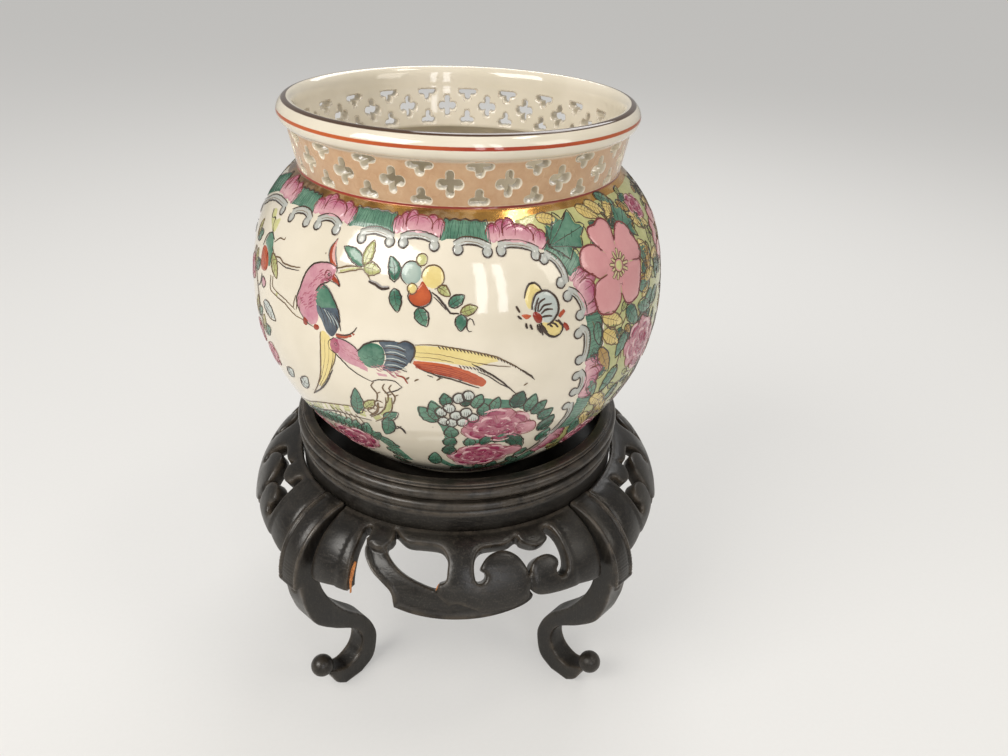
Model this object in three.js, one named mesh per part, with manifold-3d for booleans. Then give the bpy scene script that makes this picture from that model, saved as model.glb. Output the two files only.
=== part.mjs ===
// Pierced porcelain bowl on its carved wooden stand.
// Millimetres, +Z up. The origin is on the table, under the middle of the bowl.
// The stand's front panel faces -Y. The bowl lifts straight up out of the stand.
import * as THREE from 'three';
import { mergeVertices } from 'three/addons/utils/BufferGeometryUtils.js';
import Module from 'manifold-3d';

// Gap between pieces that touch on the real object
const GAP = 0.3;

// Bowl: radii, and each height above the one before it
const FOOT_RING_R = 23.4;
const FOOT_RING_WIDTH = 2.4;
const FOOT_RING_HEIGHT = 2.3;
const BELLY_R = 48.1;
const BELLY_RISE = 42.2;
const SHOULDER_R = 44.6;
const SHOULDER_RISE = 18.4;
const NECK_R = 36.0;
const NECK_RISE = 10.4;
const COLLAR_FLARE = 1.7;
const COLLAR_HEIGHT = 9.4;
const LIP_OVERHANG = 1.7;
const LIP_WIDEST_RISE = 2.1;
const LIP_HEIGHT = 4.9;
const LIP_TURN_IN = 2.3;
const BELLY_WALL = 3.4;
const NECK_WALL = 2.7;
const BOWL_FLOOR_THICKNESS = 2.8;

// Pierced collar of the bowl, measured up from the neck or down from the lip
const HOLES_ROUND = 21;
const FIRST_HOLE_DEG = -2.9;
const HOLE_ROW_RISE = 4.9;
const QUATREFOIL_WIDTH = 4.8;
const QUATREFOIL_HEIGHT = 5.2;
const QUATREFOIL_LOBE_R = 1.1;
const BELL_BASE_RISE = 0.8;
const BELL_WIDTH = 3.3;
const BELL_HEIGHT = 3.0;
const BELL_LOBE_R = 0.75;
const HALF_HOLE_DROP = 0.5;
const HALF_HOLE_WIDTH = 4.7;
const HALF_HOLE_HEIGHT = 2.5;
const HALF_HOLE_LOBE_R = 0.95;

// Stand: turned rim, turned waist and floor board. The recess clears the bowl above its foot.
const STAND_HEIGHT = 71.6;
const RECESS_CLEARANCE = 3.0;
const RECESS_DEPTH = 9.7;
const RIM_HEIGHT = 4.3;
const RIM_LEDGE_WIDTH = 2.6;
const RIM_TORUS_REACH = 4.0;
const RIM_FOOT_WIDTH = 2.0;
const WAIST_WALL = 3.3;
const WAIST_BELOW_FLOOR = 4.7;
const BEAD_REACH = 0.6;
const BEAD_HEIGHT = 2.6;
const FLOOR_THICKNESS = 2.4;
const FLOOR_TONGUE = 1.3;
const FLOOR_SHELF = 1.0;

// Stand: bombe apron panels
const APRON_LAP = 4.9;
const APRON_BULGE = 13.5;
const APRON_DROP = 15.1;
const APRON_THICKNESS = 4.0;
const APRON_LENGTH_DOWN = 24.0;
const CARVING_REFERENCE_R = 50.0;
const CARVING_GRID = 1.0;
const PANELS = 4;

// Stand: legs
const STRIP_WIDTH = 7.0;
const STRIP_RAISE = 2.4;
const STRIP_BELOW_BULGE = 1.3;
const KNEE_SETBACK = 1.6;
const ANKLE_WIDTH = 5.6;
const ANKLE_INSET = 5.0;
const ANKLE_Z = 12.2;
const ANKLE_BACK = 2.2;
const FOOT_PAD_OFFSET = 3.3;
const FOOT_PAD_LENGTH = 5.5;
const BALL_R = 2.9;
const BALL_REACH = 5.0;
const BALL_CENTRE_Z = 9.0;
const TENON_WIDTH = 4.0;
const TENON_HEIGHT = 2.8;
const TENON_ROOT = 0.7;
const TONGUE_DEPTH = 1.5;
const TONGUE_THICKNESS = 1.5;
const TONGUE_HEIGHT = 7.0;
const TONGUE_ROOT = 2.6;

// Facets
const BOWL_FACETS = HOLES_ROUND * 2;
const LOBE_STEPS = 3;
const RING_FACETS = 48;
const PANEL_COLUMNS = 10;
const PANEL_ROWS = 6;

// Shape of the bowl's wall below its widest place, as shares of the belly's radius and rise
const LOW_BELLY = { out: 0.72, up: 0.2 };
const MIDDLE_BELLY = { out: 0.93, up: 0.57 };

// Places that follow from the sizes
const RECESS_R = BELLY_R * LOW_BELLY.out + RECESS_CLEARANCE;
const RIM_BOTTOM_Z = STAND_HEIGHT - RIM_HEIGHT;
const WAIST_TOP_Z = RIM_BOTTOM_Z - GAP;
const WAIST_R = RECESS_R + WAIST_WALL;
const WAIST_INNER_R = RECESS_R - FLOOR_SHELF;
const FLOOR_TOP_Z = STAND_HEIGHT - RECESS_DEPTH;
const FLOOR_BOTTOM_Z = FLOOR_TOP_Z - FLOOR_THICKNESS;
const FLOOR_R = RECESS_R + FLOOR_TONGUE;
const WAIST_BOTTOM_Z = FLOOR_BOTTOM_Z - GAP - WAIST_BELOW_FLOOR;
const APRON_TOP_Z = WAIST_BOTTOM_Z + APRON_LAP;
const LEG_TOP_R = WAIST_R + GAP;
const TENON_Z = WAIST_BOTTOM_Z + WAIST_BELOW_FLOOR / 2;
const STRIP_END_Z = APRON_TOP_Z - APRON_DROP - STRIP_BELOW_BULGE;
const STRIP_R = LEG_TOP_R + APRON_BULGE + STRIP_RAISE;
const KNEE_R = STRIP_R - KNEE_SETBACK;
const ANKLE_R = LEG_TOP_R - ANKLE_INSET;
const FOOT_PAD_INNER_R = ANKLE_R + FOOT_PAD_OFFSET;
const FOOT_PAD_OUTER_R = FOOT_PAD_INNER_R + FOOT_PAD_LENGTH;
const BALL_CENTRE_R = FOOT_PAD_OUTER_R + BALL_REACH;
const PANEL_HALF_ANGLE = Math.PI / PANELS - Math.asin((STRIP_WIDTH / 2 + GAP) / LEG_TOP_R);
const PANEL_HALF_WIDTH = PANEL_HALF_ANGLE * CARVING_REFERENCE_R;
const FACE_R = (APRON_BULGE + APRON_DROP) / 2;
const TONGUE_Z = APRON_TOP_Z - APRON_DROP * 0.6;

const FOOT_RING_BOTTOM_Z = FLOOR_TOP_Z + GAP;
const BELLY_Z = FOOT_RING_BOTTOM_Z + BELLY_RISE;
const SHOULDER_Z = BELLY_Z + SHOULDER_RISE;
const NECK_Z = SHOULDER_Z + NECK_RISE;
const COLLAR_TOP_Z = NECK_Z + COLLAR_HEIGHT;
const COLLAR_TOP_R = NECK_R + COLLAR_FLARE;
const LIP_R = COLLAR_TOP_R + LIP_OVERHANG;
const LIP_CREST_R = LIP_R - LIP_TURN_IN;
const LIP_CREST_Z = COLLAR_TOP_Z + LIP_HEIGHT;

const wasm = await Module();
wasm.setup();

const porcelain = new THREE.MeshStandardMaterial({ color: 0xe9e0cf, roughness: 0.12, metalness: 0 });
const ebonisedWood = new THREE.MeshStandardMaterial({ color: 0x1d1a17, roughness: 0.42, metalness: 0 });

const point = (x, y) => new THREE.Vector2(x, y);
const deg = THREE.MathUtils.degToRad;

// Boolean helpers

function toSolid(geometry) {
  const bare = geometry.clone();
  bare.deleteAttribute('normal');
  bare.deleteAttribute('uv');
  const merged = mergeVertices(bare, 1e-4);
  return new wasm.Manifold(new wasm.Mesh({
    numProp: 3,
    vertProperties: new Float32Array(merged.attributes.position.array),
    triVerts: new Uint32Array(merged.index.array),
  }));
}

function toGeometry(solid) {
  const mesh = solid.getMesh();
  const geometry = new THREE.BufferGeometry();
  geometry.setAttribute('position', new THREE.BufferAttribute(new Float32Array(mesh.vertProperties), 3));
  geometry.setIndex(new THREE.BufferAttribute(new Uint32Array(mesh.triVerts), 1));
  return geometry;
}

// Moves every vertex of a geometry by a function from (x, y, z) to [x, y, z].
function bend(geometry, move) {
  const position = geometry.attributes.position;
  for (let i = 0; i < position.count; i += 1) {
    position.setXYZ(i, ...move(position.getX(i), position.getY(i), position.getZ(i)));
  }
  return geometry;
}

// Turns a profile of (radius, height) points about Z.
function turned(profile, facets) {
  const geometry = new THREE.LatheGeometry(profile, facets);
  geometry.rotateX(Math.PI / 2);
  return geometry;
}

function closed(profile) {
  return [...profile, profile[0].clone()];
}

// Points of a smooth curve through a few given ones
function smooth(points, steps) {
  return new THREE.SplineCurve(points).getPoints(steps);
}

// Bowl

function bowlProfile() {
  const footTop = FOOT_RING_BOTTOM_Z + FOOT_RING_HEIGHT;
  const floor = footTop + BOWL_FLOOR_THICKNESS;
  const rise = BELLY_Z - footTop;
  const outside = smooth([
    point(FOOT_RING_R * 1.026, footTop),
    point(BELLY_R * LOW_BELLY.out, footTop + rise * LOW_BELLY.up),
    point(BELLY_R * MIDDLE_BELLY.out, footTop + rise * MIDDLE_BELLY.up),
    point(BELLY_R, BELLY_Z),
    point(BELLY_R * 0.977, BELLY_Z + SHOULDER_RISE * 0.6),
    point(SHOULDER_R, SHOULDER_Z),
    point(THREE.MathUtils.lerp(SHOULDER_R, NECK_R, 0.442), SHOULDER_Z + NECK_RISE * 0.558),
    point(NECK_R, NECK_Z),
  ], 11);
  return [
    point(0, footTop),
    point(FOOT_RING_R - FOOT_RING_WIDTH, footTop),
    point(FOOT_RING_R - FOOT_RING_WIDTH, FOOT_RING_BOTTOM_Z),
    point(FOOT_RING_R, FOOT_RING_BOTTOM_Z),
    ...outside,
    ...lipProfile(),
    ...insideProfile(floor, rise),
    point(0, floor),
  ];
}

function lipProfile() {
  const outside = smooth([
    point(COLLAR_TOP_R, COLLAR_TOP_Z),
    point(LIP_R - LIP_OVERHANG * 0.18, COLLAR_TOP_Z + LIP_WIDEST_RISE * 0.43),
    point(LIP_R, COLLAR_TOP_Z + LIP_WIDEST_RISE),
    point(LIP_R - LIP_TURN_IN * 0.37, COLLAR_TOP_Z + LIP_HEIGHT * 0.755),
    point(LIP_CREST_R, LIP_CREST_Z),
  ], 4);
  const inside = smooth([
    point(LIP_CREST_R - NECK_WALL / 3, LIP_CREST_Z - LIP_HEIGHT * 0.08),
    point(COLLAR_TOP_R - NECK_WALL, COLLAR_TOP_Z),
  ], 2);
  return [...outside, ...inside];
}

function insideProfile(floor, rise) {
  const bellyInnerR = BELLY_R - BELLY_WALL;
  return smooth([
    point(NECK_R - NECK_WALL, NECK_Z),
    point(SHOULDER_R - BELLY_WALL, SHOULDER_Z - SHOULDER_RISE * 0.054),
    point(bellyInnerR, BELLY_Z),
    point(bellyInnerR * 0.93, floor + rise * 0.45),
    point(bellyInnerR * 0.68, floor + rise * 0.12),
    point(bellyInnerR * 0.4, floor + rise * 0.0075),
  ], 8);
}

// Points along a round lobe, from one angle to another
function lobe(x, y, radius, from, to, steps) {
  return new THREE.EllipseCurve(x, y, radius, radius, from, to).getPoints(steps);
}

// Four round lobes about a middle, each lobe an arc between its two cusps
function quatrefoil() {
  const r = QUATREFOIL_LOBE_R;
  const across = QUATREFOIL_WIDTH / 2 - r;
  const up = QUATREFOIL_HEIGHT / 2 - r;
  const cusp = cuspBetween(across, up, r);
  const side = Math.atan2(cusp.y, cusp.x - across);
  const top = Math.atan2(cusp.x, cusp.y - up);
  const quarter = Math.PI / 2;
  return new THREE.Shape([
    ...lobe(across, 0, r, -side, side, LOBE_STEPS),
    ...lobe(0, up, r, quarter - top, quarter + top, LOBE_STEPS).slice(1),
    ...lobe(-across, 0, r, 2 * quarter - side, 2 * quarter + side, LOBE_STEPS).slice(1),
    ...lobe(0, -up, r, -quarter - top, -quarter + top, LOBE_STEPS).slice(1, -1),
  ]);
}

// The outer crossing of a lobe at (across, 0) with a lobe at (0, up)
function cuspBetween(across, up, lobeR) {
  const apart = Math.hypot(across, up);
  const reach = Math.sqrt(Math.max(lobeR * lobeR - (apart * apart) / 4, 0));
  return point(across / 2 + (reach * up) / apart, up / 2 + (reach * across) / apart);
}

// The upper half of a quatrefoil on a flat base: a bell
function halfQuatrefoil(width, height, lobeR) {
  const across = width / 2 - lobeR;
  const up = height - lobeR;
  const waist = point(lobeR * 0.85, up * 0.45);
  return new THREE.Shape([
    ...lobe(across, 0, lobeR, 0, Math.PI * 0.42, LOBE_STEPS - 1),
    waist,
    ...lobe(0, up, lobeR, 0, Math.PI, LOBE_STEPS),
    point(-waist.x, waist.y),
    ...lobe(-across, 0, lobeR, Math.PI * 0.58, Math.PI, LOBE_STEPS - 1),
  ]);
}

// A cutter with a flat outline, pushed outwards through the wall of the pierced band
function radialCutter(shape, azimuth, z, flip) {
  const cutter = new THREE.ExtrudeGeometry(shape, { depth: NECK_WALL * 5, bevelEnabled: false });
  if (flip) {
    cutter.rotateZ(Math.PI);
  }
  cutter.rotateX(Math.PI / 2);
  cutter.translate(0, -(NECK_R - NECK_WALL * 2.5), z);
  cutter.rotateZ(azimuth);
  return toSolid(cutter);
}

function bowlGeometry() {
  const pitch = (2 * Math.PI) / HOLES_ROUND;
  const body = turned(bowlProfile(), BOWL_FACETS);
  // Each hole lies in the middle of a facet.
  body.rotateZ(deg(FIRST_HOLE_DEG) + pitch / 4);
  let solid = toSolid(body);
  const full = quatrefoil();
  const bell = halfQuatrefoil(BELL_WIDTH, BELL_HEIGHT, BELL_LOBE_R);
  const half = halfQuatrefoil(HALF_HOLE_WIDTH, HALF_HOLE_HEIGHT, HALF_HOLE_LOBE_R);
  for (let i = 0; i < HOLES_ROUND; i += 1) {
    const azimuth = deg(FIRST_HOLE_DEG) + i * pitch;
    solid = solid.subtract(radialCutter(full, azimuth, NECK_Z + HOLE_ROW_RISE, false));
    solid = solid.subtract(radialCutter(bell, azimuth + pitch / 2, NECK_Z + BELL_BASE_RISE, false));
    solid = solid.subtract(radialCutter(half, azimuth + pitch / 2, COLLAR_TOP_Z - HALF_HOLE_DROP, true));
  }
  return toGeometry(solid);
}

// Stand: rim, waist and floor

function halfRound(radius, z, reach, halfHeight, steps) {
  return new THREE.EllipseCurve(radius, z, reach, halfHeight, -Math.PI / 2, Math.PI / 2).getPoints(steps);
}

function rimGeometry() {
  const torusHalf = RIM_HEIGHT * 0.32;
  const torusZ = RIM_BOTTOM_Z + RIM_HEIGHT * 0.12 + torusHalf;
  const torusMiddleR = RECESS_R + RIM_TORUS_REACH * 0.75;
  const ledgeR = RECESS_R + RIM_LEDGE_WIDTH;
  const edge = RIM_HEIGHT * 0.08;
  return turned(closed([
    point(RECESS_R, RIM_BOTTOM_Z),
    point(RECESS_R + RIM_FOOT_WIDTH, RIM_BOTTOM_Z),
    ...halfRound(torusMiddleR, torusZ, RECESS_R + RIM_TORUS_REACH - torusMiddleR, torusHalf, 5),
    point(ledgeR, torusZ + torusHalf + edge / 2),
    point(ledgeR, STAND_HEIGHT - edge),
    point(ledgeR - edge, STAND_HEIGHT),
    point(RECESS_R + edge, STAND_HEIGHT),
    point(RECESS_R, STAND_HEIGHT - edge),
  ]), RING_FACETS);
}

function waistGeometry() {
  const beadHalf = BEAD_HEIGHT / 2;
  const beadMiddleR = WAIST_R + BEAD_REACH - beadHalf * 0.75;
  const ring = toSolid(turned(closed([
    point(WAIST_INNER_R, WAIST_BOTTOM_Z),
    point(WAIST_R, WAIST_BOTTOM_Z),
    point(WAIST_R, WAIST_TOP_Z - BEAD_HEIGHT),
    ...halfRound(beadMiddleR, WAIST_TOP_Z - beadHalf, WAIST_R + BEAD_REACH - beadMiddleR, beadHalf, 4),
    point(RECESS_R, WAIST_TOP_Z),
    point(RECESS_R, FLOOR_TOP_Z + GAP),
    point(FLOOR_R + GAP, FLOOR_TOP_Z + GAP),
    point(FLOOR_R + GAP, FLOOR_BOTTOM_Z - GAP),
    point(WAIST_INNER_R, FLOOR_BOTTOM_Z - GAP),
  ]), RING_FACETS));
  return toGeometry(eachLeg().reduce((solid, turn) => solid.subtract(mortiseCutter(turn)), ring));
}

function floorGeometry() {
  return turned([
    point(0, FLOOR_BOTTOM_Z),
    point(FLOOR_R, FLOOR_BOTTOM_Z),
    point(FLOOR_R, FLOOR_TOP_Z),
    point(0, FLOOR_TOP_Z),
  ], RING_FACETS);
}

// Stand: legs. Each is drawn in its own plane, as radius and height, then given its width.

function eachLeg() {
  return Array.from({ length: PANELS }, (_, i) => Math.PI / PANELS + (i * 2 * Math.PI) / PANELS);
}

// A box whose middle lies on the leg's plane at the given radius and height
function legBox(radial, tangential, height, radius, side, z) {
  const box = new THREE.BoxGeometry(tangential, radial, height);
  box.translate(side, -radius, z);
  return box;
}

function mortiseCutter(turn) {
  const through = 4 * (WAIST_R - WAIST_INNER_R);
  const box = legBox(through, TENON_WIDTH + 2 * GAP, TENON_HEIGHT + 2 * GAP, WAIST_R, 0, TENON_Z);
  box.rotateZ(turn);
  return toSolid(box);
}

// A place on the leg, as shares of the way from the ankle to the knee
function onLeg(out, up) {
  return point(THREE.MathUtils.lerp(ANKLE_R, KNEE_R, out), THREE.MathUtils.lerp(ANKLE_Z, STRIP_END_Z, up));
}

function legOutline() {
  const topZ = APRON_TOP_Z + GAP;
  const strip = new THREE.EllipseCurve(
    LEG_TOP_R, STRIP_END_Z, STRIP_R - LEG_TOP_R, topZ - STRIP_END_Z, Math.PI / 2, 0, true,
  );
  const front = smooth([
    onLeg(1, 0.98),
    onLeg(0.97, 0.72),
    onLeg(0.83, 0.51),
    onLeg(0.55, 0.325),
    onLeg(0.25, 0.17),
    onLeg(0.115, 0),
    onLeg(0.185, -0.155),
    onLeg(0.385, -0.225),
    point(BALL_CENTRE_R - BALL_R * 1.1, BALL_CENTRE_Z - BALL_R * 0.83),
    point(BALL_CENTRE_R - BALL_R * 0.35, BALL_CENTRE_Z - BALL_R * 0.2),
  ], 20);
  const sole = smooth([
    point(BALL_CENTRE_R - BALL_R * 0.2, BALL_CENTRE_Z - BALL_R * 0.75),
    point(FOOT_PAD_OUTER_R + BALL_REACH * 0.52, BALL_CENTRE_Z * 0.27),
    point(FOOT_PAD_OUTER_R, 0),
  ], 4);
  const back = smooth([
    point(FOOT_PAD_INNER_R, 0),
    point(ANKLE_R - ANKLE_BACK * 0.3, ANKLE_Z * 0.2),
    point(ANKLE_R - ANKLE_BACK, ANKLE_Z * 0.57),
    point(ANKLE_R - ANKLE_BACK, ANKLE_Z),
    onLeg(0.05, 0.227),
    onLeg(0.415, 0.494),
    onLeg(0.663, 0.789),
    onLeg(0.72, 1.032),
    onLeg(0.585, 1.26),
    point(LEG_TOP_R + STRIP_RAISE, WAIST_BOTTOM_Z - GAP * 2),
    point(LEG_TOP_R, WAIST_BOTTOM_Z),
  ], 18);
  return new THREE.Shape([...strip.getPoints(9), ...front, ...sole, ...back]);
}

// Width of the leg at a height: full at the knee, narrower from the ankle down
function legWidth(z) {
  const share = THREE.MathUtils.smoothstep(z, ANKLE_Z, THREE.MathUtils.lerp(ANKLE_Z, STRIP_END_Z, 0.74));
  return THREE.MathUtils.lerp(ANKLE_WIDTH, STRIP_WIDTH, share);
}

function legGeometry() {
  const blank = new THREE.ExtrudeGeometry(legOutline(), { depth: 1, bevelEnabled: false });
  bend(blank, (radius, z, share) => [(0.5 - share) * legWidth(z), -radius, z]);
  const ball = new THREE.SphereGeometry(BALL_R, 12, 8);
  ball.translate(0, -BALL_CENTRE_R, BALL_CENTRE_Z);
  const tenonOuterR = LEG_TOP_R + TENON_ROOT;
  const tenonLength = tenonOuterR - WAIST_INNER_R;
  const tenonR = tenonOuterR - tenonLength / 2;
  let solid = toSolid(blank).add(toSolid(ball));
  solid = solid.add(toSolid(legBox(tenonLength, TENON_WIDTH, TENON_HEIGHT, tenonR, 0, TENON_Z)));
  [-1, 1].forEach((side) => {
    solid = solid.subtract(toSolid(tongueBox(side, GAP)));
  });
  return toGeometry(solid);
}

// Stand: apron panels. A panel is cut out on a curved blank, whose coordinates are
// across (mm at the reference radius), down (mm along the face) and deep (mm inwards).

function onApron(across, down, deep) {
  const t = down / FACE_R;
  const normal = point(APRON_DROP * Math.sin(t), APRON_BULGE * Math.cos(t)).normalize();
  const radius = LEG_TOP_R + APRON_BULGE * Math.sin(t) - deep * normal.x;
  const z = APRON_TOP_Z - APRON_DROP * (1 - Math.cos(t)) - deep * normal.y;
  const azimuth = across / CARVING_REFERENCE_R;
  return [radius * Math.sin(azimuth), -radius * Math.cos(azimuth), z];
}

function tongueBox(side, clearance) {
  const t = Math.acos((TONGUE_Z - APRON_TOP_Z + APRON_DROP) / APRON_DROP);
  const middleR = LEG_TOP_R + APRON_BULGE * Math.sin(t) - APRON_THICKNESS * 0.55;
  const edge = STRIP_WIDTH / 2 - TONGUE_DEPTH - clearance;
  const reach = STRIP_WIDTH / 2 + TONGUE_ROOT;
  return legBox(
    TONGUE_THICKNESS + 2 * clearance, reach - edge, TONGUE_HEIGHT + 2 * clearance,
    middleR, (side * (reach + edge)) / 2, TONGUE_Z,
  );
}

// Carved outlines, as [across, down] places on the carver's grid.
// Scroll opening: a hook near the middle, a passage over two lobes, a hook near the leg
const SCROLL_OPENING = [
  [4.6, 13.6], [3.3, 12.4], [3.0, 9.4], [3.6, 6.6], [5.4, 4.8], [8.3, 4.5], [12.6, 4.4], [15.2, 3.0],
  [15.8, 5.0], [17.3, 6.9], [19.4, 7.5], [21.8, 6.8], [22.9, 5.6],
  [22.3, 4.2], [23.2, 3.0], [24.6, 3.4], [25.4, 5.4], [25.7, 8.6], [25.2, 12.3], [24.4, 15.0], [23.0, 15.3],
  [22.1, 13.9], [22.6, 12.2], [20.6, 10.0], [17.6, 10.3], [16.1, 13.0],
  [15.4, 10.6], [13.6, 7.9], [10.4, 6.3], [6.8, 7.2], [5.1, 9.6], [5.9, 12.2],
];

// What remains of it on the left of the front panel, where the lobes have broken away
const BROKEN_OPENING = [
  [-2.9, 9.0], [-3.1, 6.6], [-5.0, 4.4], [-8.4, 3.4], [-13.6, 3.3], [-16.6, 2.2], [-16.4, 4.4], [-17.6, 6.6],
  [-18.6, 7.6], [-14.4, 10.4], [-10.4, 12.6], [-6.6, 14.4], [-4.6, 14.8], [-3.2, 12.8],
];

// The slot beside the hanging lobe and the place under the strap, open at the bottom
const BROKEN_SLOT = [
  [-24.2, 29.0], [-24.6, 18.8], [-25.2, 13.6], [-25.0, 8.4], [-25.1, 4.9], [-24.5, 2.9], [-23.5, 2.8],
  [-22.7, 4.4], [-23.9, 6.2], [-23.7, 8.6], [-22.4, 12.2], [-18.8, 16.0], [-15.2, 18.9], [-14.2, 20.6],
  [-14.2, 29.0],
];

// Below the panel's lower edge, from the middle to the side: lip, notch and band
const LOWER_EDGE = [
  [0, 22.9], [4.8, 22.7], [9.6, 22.0], [14.2, 20.8], [16.6, 19.4], [15.7, 16.8], [17.8, 18.5], [22.5, 19.3],
  [28.0, 19.8], [32.6, 20.8], [34.0, 20.4], [34.8, 18.6], [38.0, 18.6], [38.0, 29.0], [0, 29.0],
];

// A cutter that follows the curved face and passes right through it; side -1 mirrors it.
function apronCutter(outline, side) {
  const shape = new THREE.Shape(outline.map(([across, down]) => (
    point(side * across * CARVING_GRID, down * CARVING_GRID)
  )));
  const cutter = new THREE.ExtrudeGeometry(shape, { depth: 1, bevelEnabled: false });
  const outside = -1.5 * APRON_THICKNESS;
  const inside = 2 * APRON_THICKNESS;
  bend(cutter, (across, down, share) => onApron(across, down, THREE.MathUtils.lerp(inside, outside, share)));
  return toSolid(flipped(cutter));
}

// The face's coordinates are left-handed, so a bent body is turned right side out.
function flipped(geometry) {
  const loose = geometry.index ? geometry.toNonIndexed() : geometry;
  const position = loose.attributes.position;
  const array = position.array;
  for (let i = 0; i < array.length; i += 9) {
    for (let k = 0; k < 3; k += 1) {
      [array[i + 3 + k], array[i + 6 + k]] = [array[i + 6 + k], array[i + 3 + k]];
    }
  }
  return loose;
}

function panelBlank() {
  const blank = new THREE.BoxGeometry(
    2 * PANEL_HALF_WIDTH, APRON_LENGTH_DOWN, APRON_THICKNESS, PANEL_COLUMNS, PANEL_ROWS, 1,
  );
  blank.translate(0, APRON_LENGTH_DOWN / 2, -APRON_THICKNESS / 2);
  bend(blank, (across, down, out) => onApron(across, down, -out));
  return toSolid(flipped(blank));
}

function panelGeometry(cuts) {
  let solid = panelBlank();
  cuts.forEach(([outline, side]) => {
    solid = solid.subtract(apronCutter(outline, side));
  });
  [-1, 1].forEach((side) => {
    const tongue = tongueBox(-side, 0);
    tongue.rotateZ((side * Math.PI) / PANELS);
    solid = solid.add(toSolid(tongue));
  });
  return toGeometry(solid);
}

// Assembly

function named(name, geometry, material) {
  const mesh = new THREE.Mesh(geometry, material);
  mesh.name = name;
  return mesh;
}

const model = new THREE.Group();

const stand = new THREE.Group();
stand.add(named('stand_rim_ring', rimGeometry(), ebonisedWood));
stand.add(named('stand_waist_ring', waistGeometry(), ebonisedWood));
stand.add(named('stand_floor_board', floorGeometry(), ebonisedWood));

const lowerCuts = [[LOWER_EDGE, 1], [LOWER_EDGE, -1]];
const wholeCuts = [[SCROLL_OPENING, 1], [SCROLL_OPENING, -1], ...lowerCuts];
const frontCuts = [[SCROLL_OPENING, 1], [BROKEN_OPENING, 1], [BROKEN_SLOT, 1], ...lowerCuts];
const wholePanel = panelGeometry(wholeCuts);
['front', 'right', 'back', 'left'].forEach((place, i) => {
  const panel = named(`apron_panel_${place}`, place === 'front' ? panelGeometry(frontCuts) : wholePanel, ebonisedWood);
  panel.rotation.z = (i * 2 * Math.PI) / PANELS;
  stand.add(panel);
});

const leg = legGeometry();
['front_right', 'back_right', 'back_left', 'front_left'].forEach((place, i) => {
  const mesh = named(`leg_${place}`, leg, ebonisedWood);
  mesh.rotation.z = eachLeg()[i];
  stand.add(mesh);
});

model.add(stand);
model.add(named('bowl', bowlGeometry(), porcelain));

export default model;
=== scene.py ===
"""The looks of the pierced porcelain bowl on its carved stand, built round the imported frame."""

import math
import random

import bmesh
import bpy
import numpy as np
from mathutils import Matrix, Vector
from mathutils.geometry import delaunay_2d_cdt


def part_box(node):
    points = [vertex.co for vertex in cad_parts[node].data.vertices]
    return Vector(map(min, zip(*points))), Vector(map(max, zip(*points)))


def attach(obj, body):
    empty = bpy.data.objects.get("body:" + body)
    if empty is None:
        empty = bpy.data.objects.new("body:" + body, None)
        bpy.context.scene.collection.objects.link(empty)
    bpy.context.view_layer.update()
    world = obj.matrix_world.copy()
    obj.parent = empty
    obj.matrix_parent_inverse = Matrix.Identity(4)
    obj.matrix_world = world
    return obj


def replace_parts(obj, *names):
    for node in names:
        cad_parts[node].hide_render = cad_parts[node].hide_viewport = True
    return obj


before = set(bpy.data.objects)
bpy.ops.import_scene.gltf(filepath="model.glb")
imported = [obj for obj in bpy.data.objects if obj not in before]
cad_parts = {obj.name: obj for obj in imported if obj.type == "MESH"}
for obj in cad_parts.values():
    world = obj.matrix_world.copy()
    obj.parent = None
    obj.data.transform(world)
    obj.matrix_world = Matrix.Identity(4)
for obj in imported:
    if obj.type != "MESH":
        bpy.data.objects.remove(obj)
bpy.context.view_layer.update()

MM = 0.001


def low(node):
    """The lowest height of a node of the frame, in millimetres."""
    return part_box(node)[0].z / MM


def high(node):
    """The greatest height of a node of the frame, in millimetres."""
    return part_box(node)[1].z / MM


# Lines and outlines, in millimetres


def smooth_line(points, steps=6, closed=False):
    """A smooth curve through the points, so many steps from each to the next."""
    p = np.array(points, float)
    if closed:
        p = np.vstack([p[-1:], p, p[:2]])
    else:
        p = np.vstack([2 * p[:1] - p[1:2], p, 2 * p[-1:] - p[-2:-1]])
    t = np.linspace(0, 1, steps, endpoint=False)[:, None]
    parts = []
    for a, b, c, d in zip(p[:-3], p[1:-2], p[2:-1], p[3:]):
        slope = (c - a) * t
        bend = (2 * a - 5 * b + 4 * c - d) * t**2 + (3 * b - a - 3 * c + d) * t**3
        parts.append(b + 0.5 * (slope + bend))
    if not closed:
        parts.append(p[-2:-1])
    return np.vstack(parts)


def lengths(line):
    """How far along a line each of its points lies."""
    return np.concatenate([[0], np.cumsum(np.hypot(*np.diff(line, axis=0).T))])


def evenly(line, spacing):
    """The line again, its points spaced evenly."""
    along = lengths(line)
    wanted = np.linspace(0, along[-1], max(3, int(along[-1] / spacing) + 2))
    return np.column_stack([np.interp(wanted, along, line[:, 0]), np.interp(wanted, along, line[:, 1])])


def evenly_closed(line, spacing):
    return evenly(np.vstack([line, line[:1]]), spacing)[:-1]


def right_of(line):
    """The direction to the right, at each point of a line."""
    run = np.gradient(np.asarray(line, float), axis=0)
    return np.column_stack([run[:, 1], -run[:, 0]]) / np.hypot(*run.T)[:, None]


def left_of_outline(outline):
    """The direction to the left, at each point of a closed outline."""
    run = np.roll(outline, -1, axis=0) - np.roll(outline, 1, axis=0)
    return np.column_stack([-run[:, 1], run[:, 0]]) / np.maximum(np.hypot(*run.T), 1e-9)[:, None]


def smoothstep(x):
    x = np.clip(x, 0, 1)
    return x * x * (3 - 2 * x)


def swell(away, width):
    """A soft ridge that fades to nothing a little past its width."""
    return np.exp(-(away / width) ** 2)


def turned_places(middle, x, y, turn):
    """Places about a middle, turned by so many degrees."""
    c, s = math.cos(math.radians(turn)), math.sin(math.radians(turn))
    return np.column_stack([middle[0] + c * x - s * y, middle[1] + s * x + c * y])


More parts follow.
